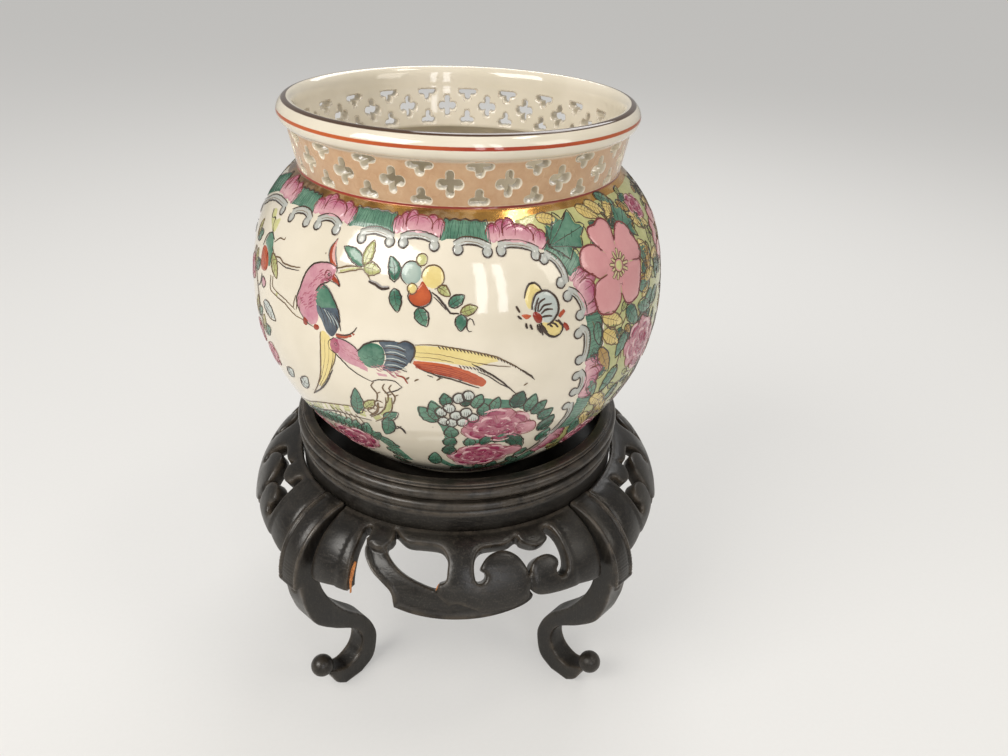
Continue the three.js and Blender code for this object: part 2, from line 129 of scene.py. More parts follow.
def inside_outline(points, outline):
    """Which points lie inside a closed outline, by the sides that each one's ray crosses."""
    a = outline
    b = np.roll(outline, -1, axis=0)
    x, y = points[:, :1], points[:, 1:2]
    spans = (a[:, 1] > y) != (b[:, 1] > y)
    rise = np.where(b[:, 1] == a[:, 1], 1e-12, b[:, 1] - a[:, 1])
    crossing = a[:, 0] + (y - a[:, 1]) * (b[:, 0] - a[:, 0]) / rise
    return ((spans & (x < crossing)).sum(1) % 2) == 1


def inside_but_not(points, outer, *holes):
    """Which points lie inside the outer outline and in none of the holes."""
    kept = inside_outline(points, outer)
    for hole in holes:
        kept &= ~inside_outline(points, hole)
    return kept


def distance_to(points, outline):
    """How far each point lies from a closed outline."""
    a = outline[None]
    side = np.roll(outline, -1, axis=0)[None] - a
    length = np.maximum((side**2).sum(2), 1e-12)
    share = np.clip(((points[:, None] - a) * side).sum(2) / length, 0, 1)
    nearest = a + share[..., None] * side
    return np.sqrt(((points[:, None] - nearest) ** 2).sum(2)).min(1)


# Meshes


def honeycomb(outline, spacing):
    """Rows of points over an outline's box, every other row half a space along."""
    low_corner, high_corner = outline.min(0), outline.max(0)
    row_space = spacing * 0.866
    rows = [np.zeros((0, 2))]
    for k, y in enumerate(np.arange(low_corner[1] + row_space / 2, high_corner[1], row_space)):
        x = np.arange(low_corner[0] + spacing * (0.25 + 0.5 * (k % 2)), high_corner[0], spacing)
        rows.append(np.column_stack([x, np.full(len(x), y)]))
    return np.vstack(rows)


def triangulated(outlines, inner):
    """Triangles through the outlines and the inner points."""
    loops = []
    start = 0
    for outline in outlines:
        loops.append(list(range(start, start + len(outline))))
        start += len(outline)
    made = delaunay_2d_cdt([Vector(p) for p in np.vstack([*outlines, inner])], [], loops, 1, 1e-5)
    return np.array([tuple(v) for v in made[0]]), [list(f) for f in made[2]]


def solid_faces(points, faces, outlines):
    """The faces that lie inside the first outline and in none of the others."""
    middles = np.array([points[f].mean(0) for f in faces])
    return [f for f, kept in zip(faces, inside_but_not(middles, *outlines)) if kept]


def strip_faces(first, second, count, closed=True):
    """Quads between two rows of count points."""
    last = count if closed else count - 1
    return [
        (first + i, first + (i + 1) % count, second + (i + 1) % count, second + i)
        for i in range(last)
    ]


def rows_faces(rows, count, closed=True):
    """Quads between so many rows of count points each."""
    return [f for k in range(rows - 1) for f in strip_faces(k * count, (k + 1) * count, count, closed)]


def turned_about_axis(points, turn):
    c, s = math.cos(turn), math.sin(turn)
    x, y = points[:, 0], points[:, 1]
    return np.column_stack([c * x - s * y, s * x + c * y, points[:, 2]])


def lathed(line, columns, start_turn=0.0):
    """A line of (radius, height) turned about the axis."""
    turns = start_turn + np.arange(columns) * 2 * math.pi / columns
    rows = [np.column_stack([r * np.sin(turns), -r * np.cos(turns), np.full(columns, z)]) for r, z in line]
    return np.vstack(rows), rows_faces(len(line), columns)


class Parcel:
    """Gathers points, faces and the points' values, until they become one piece."""

    def __init__(self, *names):
        self.points, self.faces, self.count = [], [], 0
        self.values = {name: [] for name in names}

    def add(self, points, faces, **values):
        self.points.append(points)
        self.faces += [tuple(self.count + i for i in f) for f in faces]
        for name, numbers in self.values.items():
            numbers.append(np.broadcast_to(values.get(name, 0.0), len(points)))
        self.count += len(points)

    def piece(self, name, body, slot, material, turn=0.0, smooth=True):
        """The piece, riding on a body. Its material reads each value as an attribute."""
        points = turned_about_axis(np.vstack(self.points), turn)
        mesh = bpy.data.meshes.new(name)
        mesh.from_pydata((points * MM).tolist(), [], [list(map(int, f)) for f in self.faces])
        for attribute, numbers in self.values.items():
            made = mesh.attributes.new(attribute, "FLOAT", "POINT")
            made.data.foreach_set("value", np.concatenate(numbers).astype(np.float32))
        mesh.materials.append(material)
        mesh.update()
        if smooth:
            mesh.shade_smooth()
        piece = bpy.data.objects.new(name, mesh)
        bpy.context.scene.collection.objects.link(piece)
        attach(piece, body)
        return piece


WELD_REACH = 0.01


def welded(piece):
    """Joins the points of a piece that lie on each other."""
    work = bmesh.new()
    work.from_mesh(piece.data)
    bmesh.ops.remove_doubles(work, verts=work.verts, dist=WELD_REACH * MM)
    work.to_mesh(piece.data)
    work.free()
    return piece


# Shader groups, which put out colours, masks and heights


class Nodes:
    """Adds nodes and links to a node tree."""

    def __init__(self, tree):
        self.tree = tree
        self.coordinates = None

    def add(self, kind, **settings):
        node = self.tree.nodes.new(kind)
        for key, value in settings.items():
            setattr(node, key, value)
        return node

    def put(self, socket, value):
        """Puts a number, a colour or another node's output into a socket."""
        if isinstance(value, bpy.types.NodeSocket):
            self.tree.links.new(value, socket)
        else:
            socket.default_value = value

    def feed(self, node, *values, **named):
        """Fills a node's first sockets in order, and others by name."""
        for socket, value in zip(node.inputs, values):
            self.put(socket, value)
        for name, value in named.items():
            self.put(node.inputs[name.replace("_", " ")], value)

    def math(self, operation, *values, clamp=False):
        node = self.add("ShaderNodeMath", operation=operation, use_clamp=clamp)
        self.feed(node, *values)
        return node.outputs[0]

    def plus(self, first, second, clamp=False):
        return self.math("ADD", first, second, clamp=clamp)

    def minus(self, first, second):
        return self.math("SUBTRACT", first, second)

    def times(self, first, second):
        return self.math("MULTIPLY", first, second)

    def mix(self, share, first, second):
        """One colour, or another by a share."""
        node = self.add("ShaderNodeMix", data_type="RGBA")
        for socket, value in zip([s for s in node.inputs if s.enabled], (share, first, second)):
            self.put(socket, value)
        return [s for s in node.outputs if s.enabled][0]

    def noise(self, scale, detail=3.0, roughness=0.5, place=None, seed=None):
        node = self.add("ShaderNodeTexNoise", noise_dimensions="3D" if seed is None else "4D")
        self.put(node.inputs["Vector"], self.place() if place is None else place)
        self.feed(node, Scale=scale, Detail=detail, Roughness=roughness)
        if seed is not None:
            self.feed(node, W=seed)
        return node.outputs["Fac"]

    def ramp(self, value, low_end, high_end, low_out=0.0, high_out=1.0):
        node = self.add("ShaderNodeMapRange", interpolation_type="SMOOTHSTEP")
        self.feed(node, Value=value, From_Min=low_end, From_Max=high_end, To_Min=low_out, To_Max=high_out)
        return node.outputs["Result"]

    def place(self):
        """Object coordinates, which are the frame's own."""
        if self.coordinates is None:
            self.coordinates = self.add("ShaderNodeTexCoord").outputs["Object"]
        return self.coordinates

    def attribute(self, name):
        return self.add("ShaderNodeAttribute", attribute_name=name).outputs["Fac"]

    def bump(self, height, strength, distance):
        node = self.add("ShaderNodeBump")
        self.feed(node, Strength=strength, Distance=distance, Height=height)
        return node.outputs["Normal"]

    def group(self, group, **values):
        """Puts a shader group into this tree, with its own values."""
        node = self.add("ShaderNodeGroup", node_tree=group)
        self.feed(node, **values)
        return node.outputs


SOCKET_KINDS = {1: "NodeSocketFloat", 3: "NodeSocketVector", 4: "NodeSocketColor"}


def shader_group(name, inputs, outputs):
    """A group: inputs with plain values, outputs with how many numbers each holds."""
    tree = bpy.data.node_groups.new(name, "ShaderNodeTree")
    for socket, value in inputs.items():
        kind = SOCKET_KINDS[np.size(value)]
        tree.interface.new_socket(socket, in_out="INPUT", socket_type=kind).default_value = value
    for socket, size in outputs.items():
        tree.interface.new_socket(socket, in_out="OUTPUT", socket_type=SOCKET_KINDS[size])
    kit = Nodes(tree)
    return tree, kit, kit.add("NodeGroupInput").outputs, kit.add("NodeGroupOutput")


def painted_ring_group():
    """A brush line round the bowl, which wavers and frays. Lengths in millimetres."""
    tree, kit, given, out = shader_group(
        "Painted Ring",
        {"Along": 0.0, "Middle": 0.0, "Half Width": 0.5, "Waver": 0.1, "Seed": 0.0},
        {"Mask": 1},
    )
    slow = kit.noise(45, 1, seed=given["Seed"])
    ragged = kit.noise(900, 2, seed=given["Seed"])
    shift = kit.times(kit.minus(slow, 0.5), kit.times(given["Waver"], 3))
    frayed = kit.times(kit.minus(ragged, 0.5), given["Waver"])
    off = kit.minus(given["Along"], kit.plus(given["Middle"], shift))
    away = kit.plus(kit.math("ABSOLUTE", off), frayed)
    inner_edge = kit.times(given["Half Width"], 0.8)
    outer_edge = kit.times(given["Half Width"], 1.15)
    kit.feed(out, Mask=kit.ramp(away, inner_edge, outer_edge, 1, 0))
    return tree


def glaze_group():
    """Clear glaze: pooled tint, iron specks and a faintly uneven skin."""
    tree, kit, given, out = shader_group(
        "Porcelain Glaze",
        {"Colour": (0.8, 0.8, 0.8, 1), "Pooled Colour": (0.7, 0.7, 0.7, 1),
         "Speck Colour": (0.1, 0.07, 0.05, 1), "Specks": 0.5},
        {"Colour": 4, "Height": 1},
    )
    cloud = kit.ramp(kit.noise(55), 0.38, 0.68)
    base = kit.mix(cloud, given["Colour"], given["Pooled Colour"])
    cells = kit.add("ShaderNodeTexVoronoi", feature="F1")
    kit.feed(cells, Vector=kit.place(), Scale=420)
    few = kit.ramp(kit.noise(210, 1), 0.66, 0.7)
    dot = kit.ramp(cells.outputs["Distance"], 0.05, 0.13, 1, 0)
    speck = kit.times(kit.times(dot, few), given["Specks"])
    skin = kit.times(kit.noise(130, 2), 0.7)
    fine = kit.times(kit.noise(640, 2), 0.12)
    kit.feed(out, Colour=kit.mix(speck, base, given["Speck Colour"]), Height=kit.plus(skin, fine))
    return tree


def enamel_group():
    """Overglaze enamel laid with a brush, streaked and mottled between thin and thick."""
    tree, kit, given, out = shader_group(
        "Enamel Wash",
        {"Thin Colour": (0.5, 0.5, 0.5, 1), "Thick Colour": (0.2, 0.2, 0.2, 1), "Shade": 0.5, "Mottle": 0.3},
        {"Colour": 4, "Roughness": 1, "Height": 1},
    )
    broad = kit.minus(kit.noise(330, 3, 0.6), 0.5)
    grain = kit.minus(kit.noise(1500, 2, 0.6), 0.5)
    stir = kit.plus(kit.times(broad, 2.2), kit.times(grain, 0.8))
    share = kit.plus(given["Shade"], kit.times(stir, given["Mottle"]), clamp=True)
    kit.feed(
        out, Colour=kit.mix(share, given["Thin Colour"], given["Thick Colour"]),
        Roughness=kit.ramp(kit.noise(260, 2), 0.3, 0.75, 0.1, 0.24), Height=kit.noise(900, 3, 0.6),
    )
    return tree


PAINTED_RING = painted_ring_group()
GLAZE = glaze_group()
ENAMEL_WASH = enamel_group()


def material_with_shader(name, **constants):
    """A material and its Principled shader, with constants on its sockets."""
    material = bpy.data.materials.new(name)
    material.use_nodes = True
    kit = Nodes(material.node_tree)
    shader = material.node_tree.nodes["Principled BSDF"]
    kit.feed(shader, **constants)
    return material, kit, shader


# Materials of the bowl


WHITE_GLAZE = (0.73, 0.665, 0.545, 1)
POOLED_GLAZE = (0.66, 0.60, 0.48, 1)
IRON_SPECK = (0.16, 0.10, 0.06, 1)
PEACH_ENAMEL = (0.53, 0.34, 0.19, 1)
PEACH_ENAMEL_DEEP = (0.41, 0.215, 0.095, 1)
RIM_BROWN = (0.058, 0.025, 0.010, 1)
IRON_RED = (0.30, 0.03, 0.018, 1)
VERMILION = (0.47, 0.098, 0.022, 1)
NECK_MAROON = (0.16, 0.028, 0.022, 1)
# Bright gold and dark brown, mixed in large patches as painted reflection in the lustre
LUSTRE_GOLD = (0.82, 0.44, 0.11, 1)
LUSTRE_BROWN = (0.20, 0.085, 0.022, 1)
BISCUIT = (0.42, 0.34, 0.25, 1)
LINE_WAVER = 0.06


def bowl_material():
    """White glaze, with the lines, gold and peach painted on the wheel."""
    material, kit, shader = material_with_shader(
        "bowl_glaze", Coat_Weight=0.35, Coat_Roughness=0.04, IOR=1.52
    )
    glaze = kit.group(
        GLAZE, Colour=WHITE_GLAZE, Pooled_Colour=POOLED_GLAZE, Speck_Colour=IRON_SPECK, Specks=0.75
    )
    wash = kit.group(
        ENAMEL_WASH, Thin_Colour=PEACH_ENAMEL, Thick_Colour=PEACH_ENAMEL_DEEP, Shade=0.3, Mottle=0.6
    )
    peach = kit.attribute("peach")
    along = kit.attribute("along")
    bare = kit.attribute("biscuit")
    colour = kit.mix(peach, glaze["Colour"], wash["Colour"])
    drawn_thin = kit.ramp(kit.noise(14), 0.44, 0.58)
    for seed, middle, half, thick, thin in PAINTED_LINES:
        line = kit.group(
            PAINTED_RING, Along=along, Middle=middle, Half_Width=half, Waver=LINE_WAVER, Seed=seed
        )
        colour = kit.mix(line["Mask"], colour, kit.mix(drawn_thin, thick, thin))
    gold = kit.group(
        PAINTED_RING, Along=along, Middle=GOLD_MIDDLE, Half_Width=GOLD_HALF_WIDTH, Waver=0.12, Seed=7.0
    )
    worn = kit.ramp(kit.noise(240, 4, 0.65), 0.36, 0.5)
    gilt = kit.times(gold["Mask"], kit.ramp(worn, 0, 1, 0.8, 1))
    # Large noise patches of bright and dark gold: painted reflection in the lustre
    painted_gold_sheen = kit.ramp(kit.noise(30, 4, 0.6), 0.42, 0.6)
    colour = kit.mix(gilt, colour, kit.mix(painted_gold_sheen, LUSTRE_GOLD, LUSTRE_BROWN))
    shine = kit.plus(0.07, kit.times(peach, wash["Roughness"]))
    rough = kit.plus(kit.plus(shine, kit.times(gilt, 0.1)), kit.times(bare, 0.6))
    kit.feed(
        shader, Base_Color=kit.mix(bare, colour, BISCUIT), Metallic=kit.times(gilt, 0.92), Roughness=rough,
        Normal=kit.bump(glaze["Height"], 0.16, 0.0006),
    )
    return material


# Each enamel: its thin colour, its thick colour and how much it mottles
ENAMELS = {
    "green": ((0.18, 0.33, 0.23), (0.018, 0.105, 0.065), 0.5),
    "dark_green": ((0.08, 0.18, 0.12), (0.010, 0.048, 0.031), 0.45),
    "yellow_green": ((0.58, 0.56, 0.26), (0.28, 0.31, 0.10), 0.5),
    "yellow": ((0.74, 0.62, 0.27), (0.56, 0.40, 0.11), 0.35),
    "pink": ((0.66, 0.41, 0.42), (0.38, 0.085, 0.17), 0.4),
    "flat_pink": ((0.66, 0.34, 0.33), (0.54, 0.215, 0.235), 0.3),
    "magenta": ((0.68, 0.38, 0.40), (0.27, 0.022, 0.075), 0.4),
    "iron_red": ((0.52, 0.11, 0.035), (0.24, 0.022, 0.008), 0.35),
    "blue": ((0.15, 0.19, 0.22), (0.025, 0.038, 0.06), 0.45),
    "pale_blue": ((0.58, 0.60, 0.54), (0.36, 0.42, 0.41), 0.3),
    "celadon": ((0.40, 0.48, 0.42), (0.24, 0.34, 0.31), 0.35),
    "scroll_grey": ((0.53, 0.52, 0.46), (0.37, 0.39, 0.37), 0.35),
    "ink": ((0.075, 0.042, 0.025), (0.022, 0.013, 0.010), 0.5),
    "brown_ink": ((0.20, 0.12, 0.05), (0.09, 0.05, 0.02), 0.5),
    "red_ink": ((0.26, 0.05, 0.045), (0.11, 0.016, 0.018), 0.5),
    "gilding": ((0.50, 0.33, 0.09), (0.28, 0.15, 0.03), 0.4),
}


def enamel_material(name):
    """One overglaze enamel, whose depth of colour follows the brush."""
    thin, thick, mottle = ENAMELS[name]
    material, kit, shader = material_with_shader(
        "enamel_" + name, Coat_Weight=0.3, Coat_Roughness=0.06, IOR=1.52
    )
    shade = kit.attribute("shade")
    wash = kit.group(
        ENAMEL_WASH, Thin_Colour=(*thin, 1), Thick_Colour=(*thick, 1), Shade=shade, Mottle=mottle
    )
    kit.feed(
        shader, Base_Color=wash["Colour"], Roughness=wash["Roughness"],
        Normal=kit.bump(wash["Height"], 0.25, 0.0002),
    )
    return material


# The bowl


FOOT_Z = low("bowl")
NECK_Z = FOOT_Z + 71.0
COLLAR_HEIGHT = 9.4
COLLAR_FLARE = 1.7
NECK_R = 36.0
NECK_WALL = 2.7
HOLES_ROUND = 21
FIRST_HOLE = math.radians(-2.9)
CELL_COLUMNS = 12
CELL_SPACING = 0.5
COLLAR_MEASURE_R = 37.0
CELL = 2 * math.pi * COLLAR_MEASURE_R / HOLES_ROUND
BELLY_MEASURE_R = 48.0
MEASURE_Z = FOOT_Z + 45.3

# Outside of the bowl from the foot to the neck, as radius and height above the foot
SIDE = [
    (23.6, 1), (24.2, 2.4), (28.2, 4.6), (34.6, 10.3), (40.3, 17.7), (44.3, 24.8), (46.9, 31.9),
    (48, 38.8), (48.05, 45.3), (46.95, 53.3), (44.6, 60.6), (40.75, 66.3), (36.9, 70.2), (36, 71),
]
LIP = [
    (37.7, 80.4), (38.15, 80.55), (38.95, 81.2), (39.4, 82.5), (39.2, 83.6), (38.6, 84.5), (37.9, 85.1),
    (37.1, 85.3), (36.3, 85), (35.6, 84), (35.25, 82.6), (35, 80.4),
]
INSIDE = [
    (33.3, 71), (34.6, 69.7), (38.6, 65.3), (41.2, 59.6), (43.6, 51.5), (44.65, 42.2), (43.9, 32),
    (41.5, 23.4), (37.4, 15.6), (30.6, 9.6), (22, 6.3), (11, 5.3), (0, 5.1),
]
UNDERSIDE = [
    (0, 2.3), (20.6, 2.3), (21, 1.9), (21.1, 0.6), (21.5, 0.1), (22.3, 0), (23.1, 0.1), (23.6, 1),
]


def measured(profile, steps):
    """A profile as a smooth line at real heights."""
    return smooth_line(profile, steps) + (0, FOOT_Z)


SIDE_LINE = measured(SIDE, 12)
SIDE_LENGTHS = lengths(SIDE_LINE)
SIDE_LENGTHS -= np.interp(MEASURE_Z, SIDE_LINE[:, 1], SIDE_LENGTHS)
SIDE_TURNS = np.gradient(SIDE_LINE, SIDE_LENGTHS, axis=0)
NECK_ALONG = SIDE_LENGTHS[-1]
COLLAR_LENGTH = math.hypot(COLLAR_HEIGHT, COLLAR_FLARE)
LIP_LINE = measured(LIP, 4)
LIP_LENGTHS = lengths(LIP_LINE) + NECK_ALONG + COLLAR_LENGTH
INSIDE_FROM = LIP_LENGTHS[-1] + COLLAR_LENGTH


def on_bowl(places, lift):
    """Places on the bowl, as (round, up), lifted off the glaze."""
    turn = places[:, 0] / BELLY_MEASURE_R
    radius = np.interp(places[:, 1], SIDE_LENGTHS, SIDE_LINE[:, 0])
    z = np.interp(places[:, 1], SIDE_LENGTHS, SIDE_LINE[:, 1])
    run = np.interp(places[:, 1], SIDE_LENGTHS, SIDE_TURNS[:, 0])
    rise = np.interp(places[:, 1], SIDE_LENGTHS, SIDE_TURNS[:, 1])
    size = np.hypot(run, rise)
    radius = radius + lift * rise / size
    z = z - lift * run / size
    return np.column_stack([radius * np.sin(turn), -radius * np.cos(turn), z])


def lobed_outline(lobes, floor, count):
    """An outline about its middle: round lobes (x, y, radius), cut flat by y = floor."""
    angles = np.linspace(0, 2 * math.pi, count, endpoint=False)
    reach = np.full(count, 0.35)
    for x, y, radius in lobes:
        towards = x * np.cos(angles) + y * np.sin(angles)
        aside = -x * np.sin(angles) + y * np.cos(angles)
        hit = np.abs(aside) < radius
        edge = towards + np.sqrt(np.maximum(radius**2 - aside**2, 0))
        reach = np.where(hit, np.maximum(reach, edge), reach)
    if floor is not None:
        down = np.sin(angles) * np.sign(floor)
        reach = np.where(down > 0.02, np.minimum(reach, abs(floor) / np.maximum(down, 0.02)), reach)
    softened = (np.roll(reach, 1) + 2 * reach + np.roll(reach, -1)) / 4
    return angles, softened


# The holes of one cell of the collar: middle (round, up), lobes, flat side
HOLES = [
    ((0, 4.9), [(1.4, -0.05, 1), (-1.4, -0.05, 1), (0, 1.7, 0.85), (0, -1.65, 0.85), (0, 0, 0.95)], None),
    ((CELL / 2, 1.75), [(0, 1.35, 0.75), (1.15, -0.3, 0.75), (-1.15, -0.3, 0.75), (0, 0, 0.9)], -0.95),
    ((CELL / 2, 8.15), [(0, -1, 0.75), (1.55, 0.3, 0.85), (-1.55, 0.3, 0.85), (0, 0, 0.95)], 0.75),
]
HOLE_POINTS = 44
# The glazed edge of a hole, from the peach ground into the wall: growth, depth and peach
HOLE_EDGE = [(0.4, 0, 1), (0.3, 0, 0.45), (0.2, 0.05, 0), (0.08, 0.17, 0), (0, 0.42, 0)]
HOLE_BACK = [(0, NECK_WALL - 0.5, 0), (0.08, NECK_WALL - 0.16, 0), (0.3, NECK_WALL, 0)]


def collar_points(places, depth):
    """Places on the pierced collar, as (round, up), at a depth in its wall."""
    share = places[:, 1] / COLLAR_HEIGHT
    radius = NECK_R + COLLAR_FLARE * share - depth
    turn = FIRST_HOLE + places[:, 0] / COLLAR_MEASURE_R
    return np.column_stack([radius * np.sin(turn), -radius * np.cos(turn), NECK_Z + places[:, 1]])


def hole_ring(hole, growth):
    middle, lobes, floor = hole
    angles, reach = lobed_outline(lobes, floor, HOLE_POINTS)
    reach = reach + growth
    return np.column_stack([middle[0] + reach * np.cos(angles), middle[1] + reach * np.sin(angles)])


def cell_border():
    """The outline of one cell, with the lathe's own columns."""
    across = np.arange(CELL_COLUMNS + 1) * CELL / CELL_COLUMNS - CELL / 4
    up = np.linspace(0, COLLAR_HEIGHT, 17)
    bottom = [(x, 0) for x in across]
    right = [(across[-1], y) for y in up[1:-1]]
    top = [(x, COLLAR_HEIGHT) for x in across[::-1]]
    left = [(across[0], y) for y in up[1:-1][::-1]]
    return np.array(bottom + right + top + left)


def cell_sheet(growth):
    """Triangles over one cell, up to its holes' rings."""
    border = cell_border()
    rings = [hole_ring(hole, growth) for hole in HOLES]
    grid = honeycomb(border, CELL_SPACING)
    clear = inside_but_not(grid, border, *rings) & (distance_to(grid, border) > 0.22)
    for ring in rings:
        clear &= distance_to(grid, ring) > 0.2
    points, faces = triangulated([border, *rings], grid[clear])
    return points, solid_faces(points, faces, [border, *rings])


def collar_cell():
    """One cell of the collar: both sheets and the walls of its three holes."""
    cell = Parcel("peach", "along")
    stretch = COLLAR_LENGTH / COLLAR_HEIGHT
    outer, outer_faces = cell_sheet(HOLE_EDGE[0][0])
    top_fade = smoothstep((COLLAR_HEIGHT - outer[:, 1]) / 0.5)
    cell.add(collar_points(outer, 0), outer_faces, peach=top_fade, along=NECK_ALONG + outer[:, 1] * stretch)
    inner, inner_faces = cell_sheet(HOLE_BACK[-1][0])
    backward = [f[::-1] for f in inner_faces]
    cell.add(collar_points(inner, NECK_WALL), backward, along=INSIDE_FROM - inner[:, 1] * stretch)
    for hole in HOLES:
        rows = [(hole_ring(hole, growth), depth, share) for growth, depth, share in HOLE_EDGE + HOLE_BACK]
        cell.add(
            np.vstack([collar_points(ring, depth) for ring, depth, _ in rows]),
            rows_faces(len(rows), HOLE_POINTS),
            peach=np.repeat([share for _, _, share in rows], HOLE_POINTS),
            along=NECK_ALONG + np.concatenate([ring[:, 1] for ring, _, _ in rows]) * stretch,
        )
    return cell


def build_bowl():
    columns = HOLES_ROUND * CELL_COLUMNS
    start_turn = FIRST_HOLE - (CELL / 4) / COLLAR_MEASURE_R
    bowl = Parcel("peach", "along", "biscuit")
    cell = collar_cell()
    points = np.vstack(cell.points)
    values = {name: np.concatenate(numbers) for name, numbers in cell.values.items()}
    for i in range(HOLES_ROUND):
        bowl.add(turned_about_axis(points, i * 2 * math.pi / HOLES_ROUND), cell.faces, **values)
    under = measured(UNDERSIDE, 3)
    inside = measured(INSIDE, 6)
    for line, along in (
        (under, lengths(under) - 200.0),
        (SIDE_LINE[::2], SIDE_LENGTHS[::2]),
        (LIP_LINE, LIP_LENGTHS),
        (inside, INSIDE_FROM + lengths(inside)),
    ):
        ring_points, ring_faces = lathed(line, columns, start_turn)
        worn_foot = np.repeat(smoothstep((FOOT_Z + 0.55 - line[:, 1]) / 0.25), columns)
        bowl.add(ring_points, ring_faces, along=np.repeat(along, columns), biscuit=worn_foot)
    piece = bowl.piece("bowl_body", "bowl", "porcelain", bowl_material())
    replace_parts(welded(piece), "bowl")


GOLD_MIDDLE = NECK_ALONG - 1.45
GOLD_HALF_WIDTH = 1.35
# Lines round the bowl: seed, middle, half width, colour where thick and where thin
PAINTED_LINES = [
    (2, NECK_ALONG + 0.1, 0.34, NECK_MAROON, IRON_RED),
    (3, LIP_LENGTHS[0] + 3.35, 0.36, IRON_RED, VERMILION),
    (5, LIP_LENGTHS[0] + 6.3, 0.62, RIM_BROWN, RIM_BROWN),
]
build_bowl()


# Painting on the glaze. Places are (round, up) in millimetres, seen from outside.


LAYER = 0.05
CROWN = 0.06
SINK = 0.03
LINE_RISE = 0.05
LINE_STEP = 0.6
INK_WIDTH = 0.28
INK_SPREAD = 1.22
SHADE_SHAKE = 0.12
LEAF_RAGGED = 0.12

painted = {enamel: Parcel("shade") for enamel in ENAMELS}
brush = random.Random(7)


def lay(enamel, places, lifts, faces, shades):
    painted[enamel].add(on_bowl(places, lifts), faces, shade=np.clip(shades, 0, 1))


def fade(start, end, first, last):
    """A depth of colour that runs from one place to another."""
    start = np.array(start, float)
    run = np.array(end, float) - start
    return lambda places: first + (last - first) * np.clip((places - start) @ run / (run @ run), 0, 1)


def patch(enamel, outline, shade=0.5, edge=None, reach=0.8, level=1, steps=4):
    """A patch of enamel, sunk at its edge. edge is the depth of colour along the outline."""
    border = smooth_line(outline, steps, closed=True)
    spacing = min(max(np.ptp(border, axis=0).min() / 6, 0.3), 0.85)
    grid = honeycomb(border, spacing)
    keep = inside_outline(grid, border) & (distance_to(grid, border) > spacing * 0.4)
    places, faces = triangulated([border], grid[keep])
    away = distance_to(places, border)
    base = level * LAYER
    lifts = np.where(away < 0.01, base - LAYER - SINK, base + CROWN * smoothstep(away / reach))
    shades = shade(places) if callable(shade) else np.full(len(places), float(shade))
    if edge is not None:
        shades = edge + (shades - edge) * smoothstep(away / reach)
    lay(enamel, places, lifts, faces, shades)


def stroke(enamel, points, width=INK_WIDTH, level=2, shade=0.6, tail=0.35, shake=0.03):
    """One pull of the brush, thin at both ends."""
    line = evenly(smooth_line(points, 5), LINE_STEP if width < 0.7 else 0.9)
    if enamel.endswith("ink"):
        width *= INK_SPREAD
    line = line + np.array([[brush.gauss(0, shake), brush.gauss(0, shake)] for _ in line])
    side = -right_of(line)
    share = np.linspace(0, 1, len(line))
    half = width / 2 * (tail + (1 - tail) * np.sin(np.pi * np.clip(share, 0.02, 0.98)) ** 0.5)
    across = np.linspace(-1, 1, 3 if width < 0.7 else 5)
    count = len(line)
    base = level * LAYER
    rows = [line + side * (half * a)[:, None] for a in across]
    lifts = [np.full(count, base - SINK + (LINE_RISE + SINK) * (1 - a * a)) for a in across]
    faces = rows_faces(len(across), count, closed=False)
    shades = shade + np.array([brush.gauss(0, SHADE_SHAKE) for _ in line])
    lay(enamel, np.vstack(rows), np.concatenate(lifts), faces, np.tile(shades, len(across)))


def ink(points, width=INK_WIDTH, level=2, **how):
    stroke("ink", points, width, level, **how)


def brown(points, width=INK_WIDTH, level=2, **how):
    stroke("brown_ink", points, width, level, **how)


def oval(middle, across, up, turn=0.0, points=10, scallop=0.0, lobes=5):
    """An oval outline, with a scalloped edge if asked."""
    angles = np.linspace(0, 2 * math.pi, points, endpoint=False)
    reach = 1 + scallop * np.abs(np.sin(angles * lobes / 2))
    return turned_places(middle, across * reach * np.cos(angles), up * reach * np.sin(angles), turn)


def ring(enamel, middle, across, up=None, start=0.0, end=360.0, turn=0.0, **how):
    """A drawn loop or part of a loop."""
    up = across if up is None else up
    angles = np.radians(np.linspace(start, end, max(5, int(abs(end - start) / 30))))
    stroke(enamel, turned_places(middle, across * np.cos(angles), up * np.sin(angles), turn), **how)


BLADE_POINTS = 9


def blade(base, tip, width, bend=0.0, fullness=0.8, ragged=0.0):
    """The middle line and both sides of a leaf, petal or feather."""
    base, tip = np.array(base, float), np.array(tip, float)
    run = tip - base
    side = np.array([-run[1], run[0]]) / np.hypot(*run)
    share = np.linspace(0, 1, BLADE_POINTS)[:, None]
    middle = base + run * share + side * bend * 4 * share * (1 - share)
    half = width / 2 * np.sin(np.pi * share**fullness) ** 0.75
    half = half * (1 + ragged * (np.arange(BLADE_POINTS)[:, None] % 2))
    return middle, middle + side * half, middle - side * half


def leaf(base, tip, width, enamel="green", bend=0.0, veins=3, pen="ink", shade=0.55, level=1):
    """A leaf in ink, filled with enamel that misses its outline a little."""
    middle, left, right = blade(base, tip, width, bend, ragged=LEAF_RAGGED)
    slip = np.array([brush.uniform(-1, 1), brush.uniform(-1, 1)]) * width * 0.09
    outline = np.vstack([left, right[-2:0:-1]])
    centre = outline.mean(0)
    depth = shade + brush.uniform(-0.15, 0.15)
    body = centre + (outline - centre) * 1.02 + slip
    patch(enamel, body, fade(base, tip, depth + 0.3, depth - 0.2), depth, reach=0.5, level=level, steps=2)
    level += 1
    stroke(pen, left, INK_WIDTH, level)
    stroke(pen, right, INK_WIDTH * 0.8, level)
    if veins:
        stroke(pen, middle[:-2], INK_WIDTH * 0.7, level)
    for k in range(veins):
        place = 2 + round(k * 4 / veins)
        for edge in (left, right):
            end = middle[place] + (edge[place + 1] - middle[place]) * 0.8
            stroke(pen, [middle[place], (middle[place] + end) / 2, end], INK_WIDTH * 0.5, level)


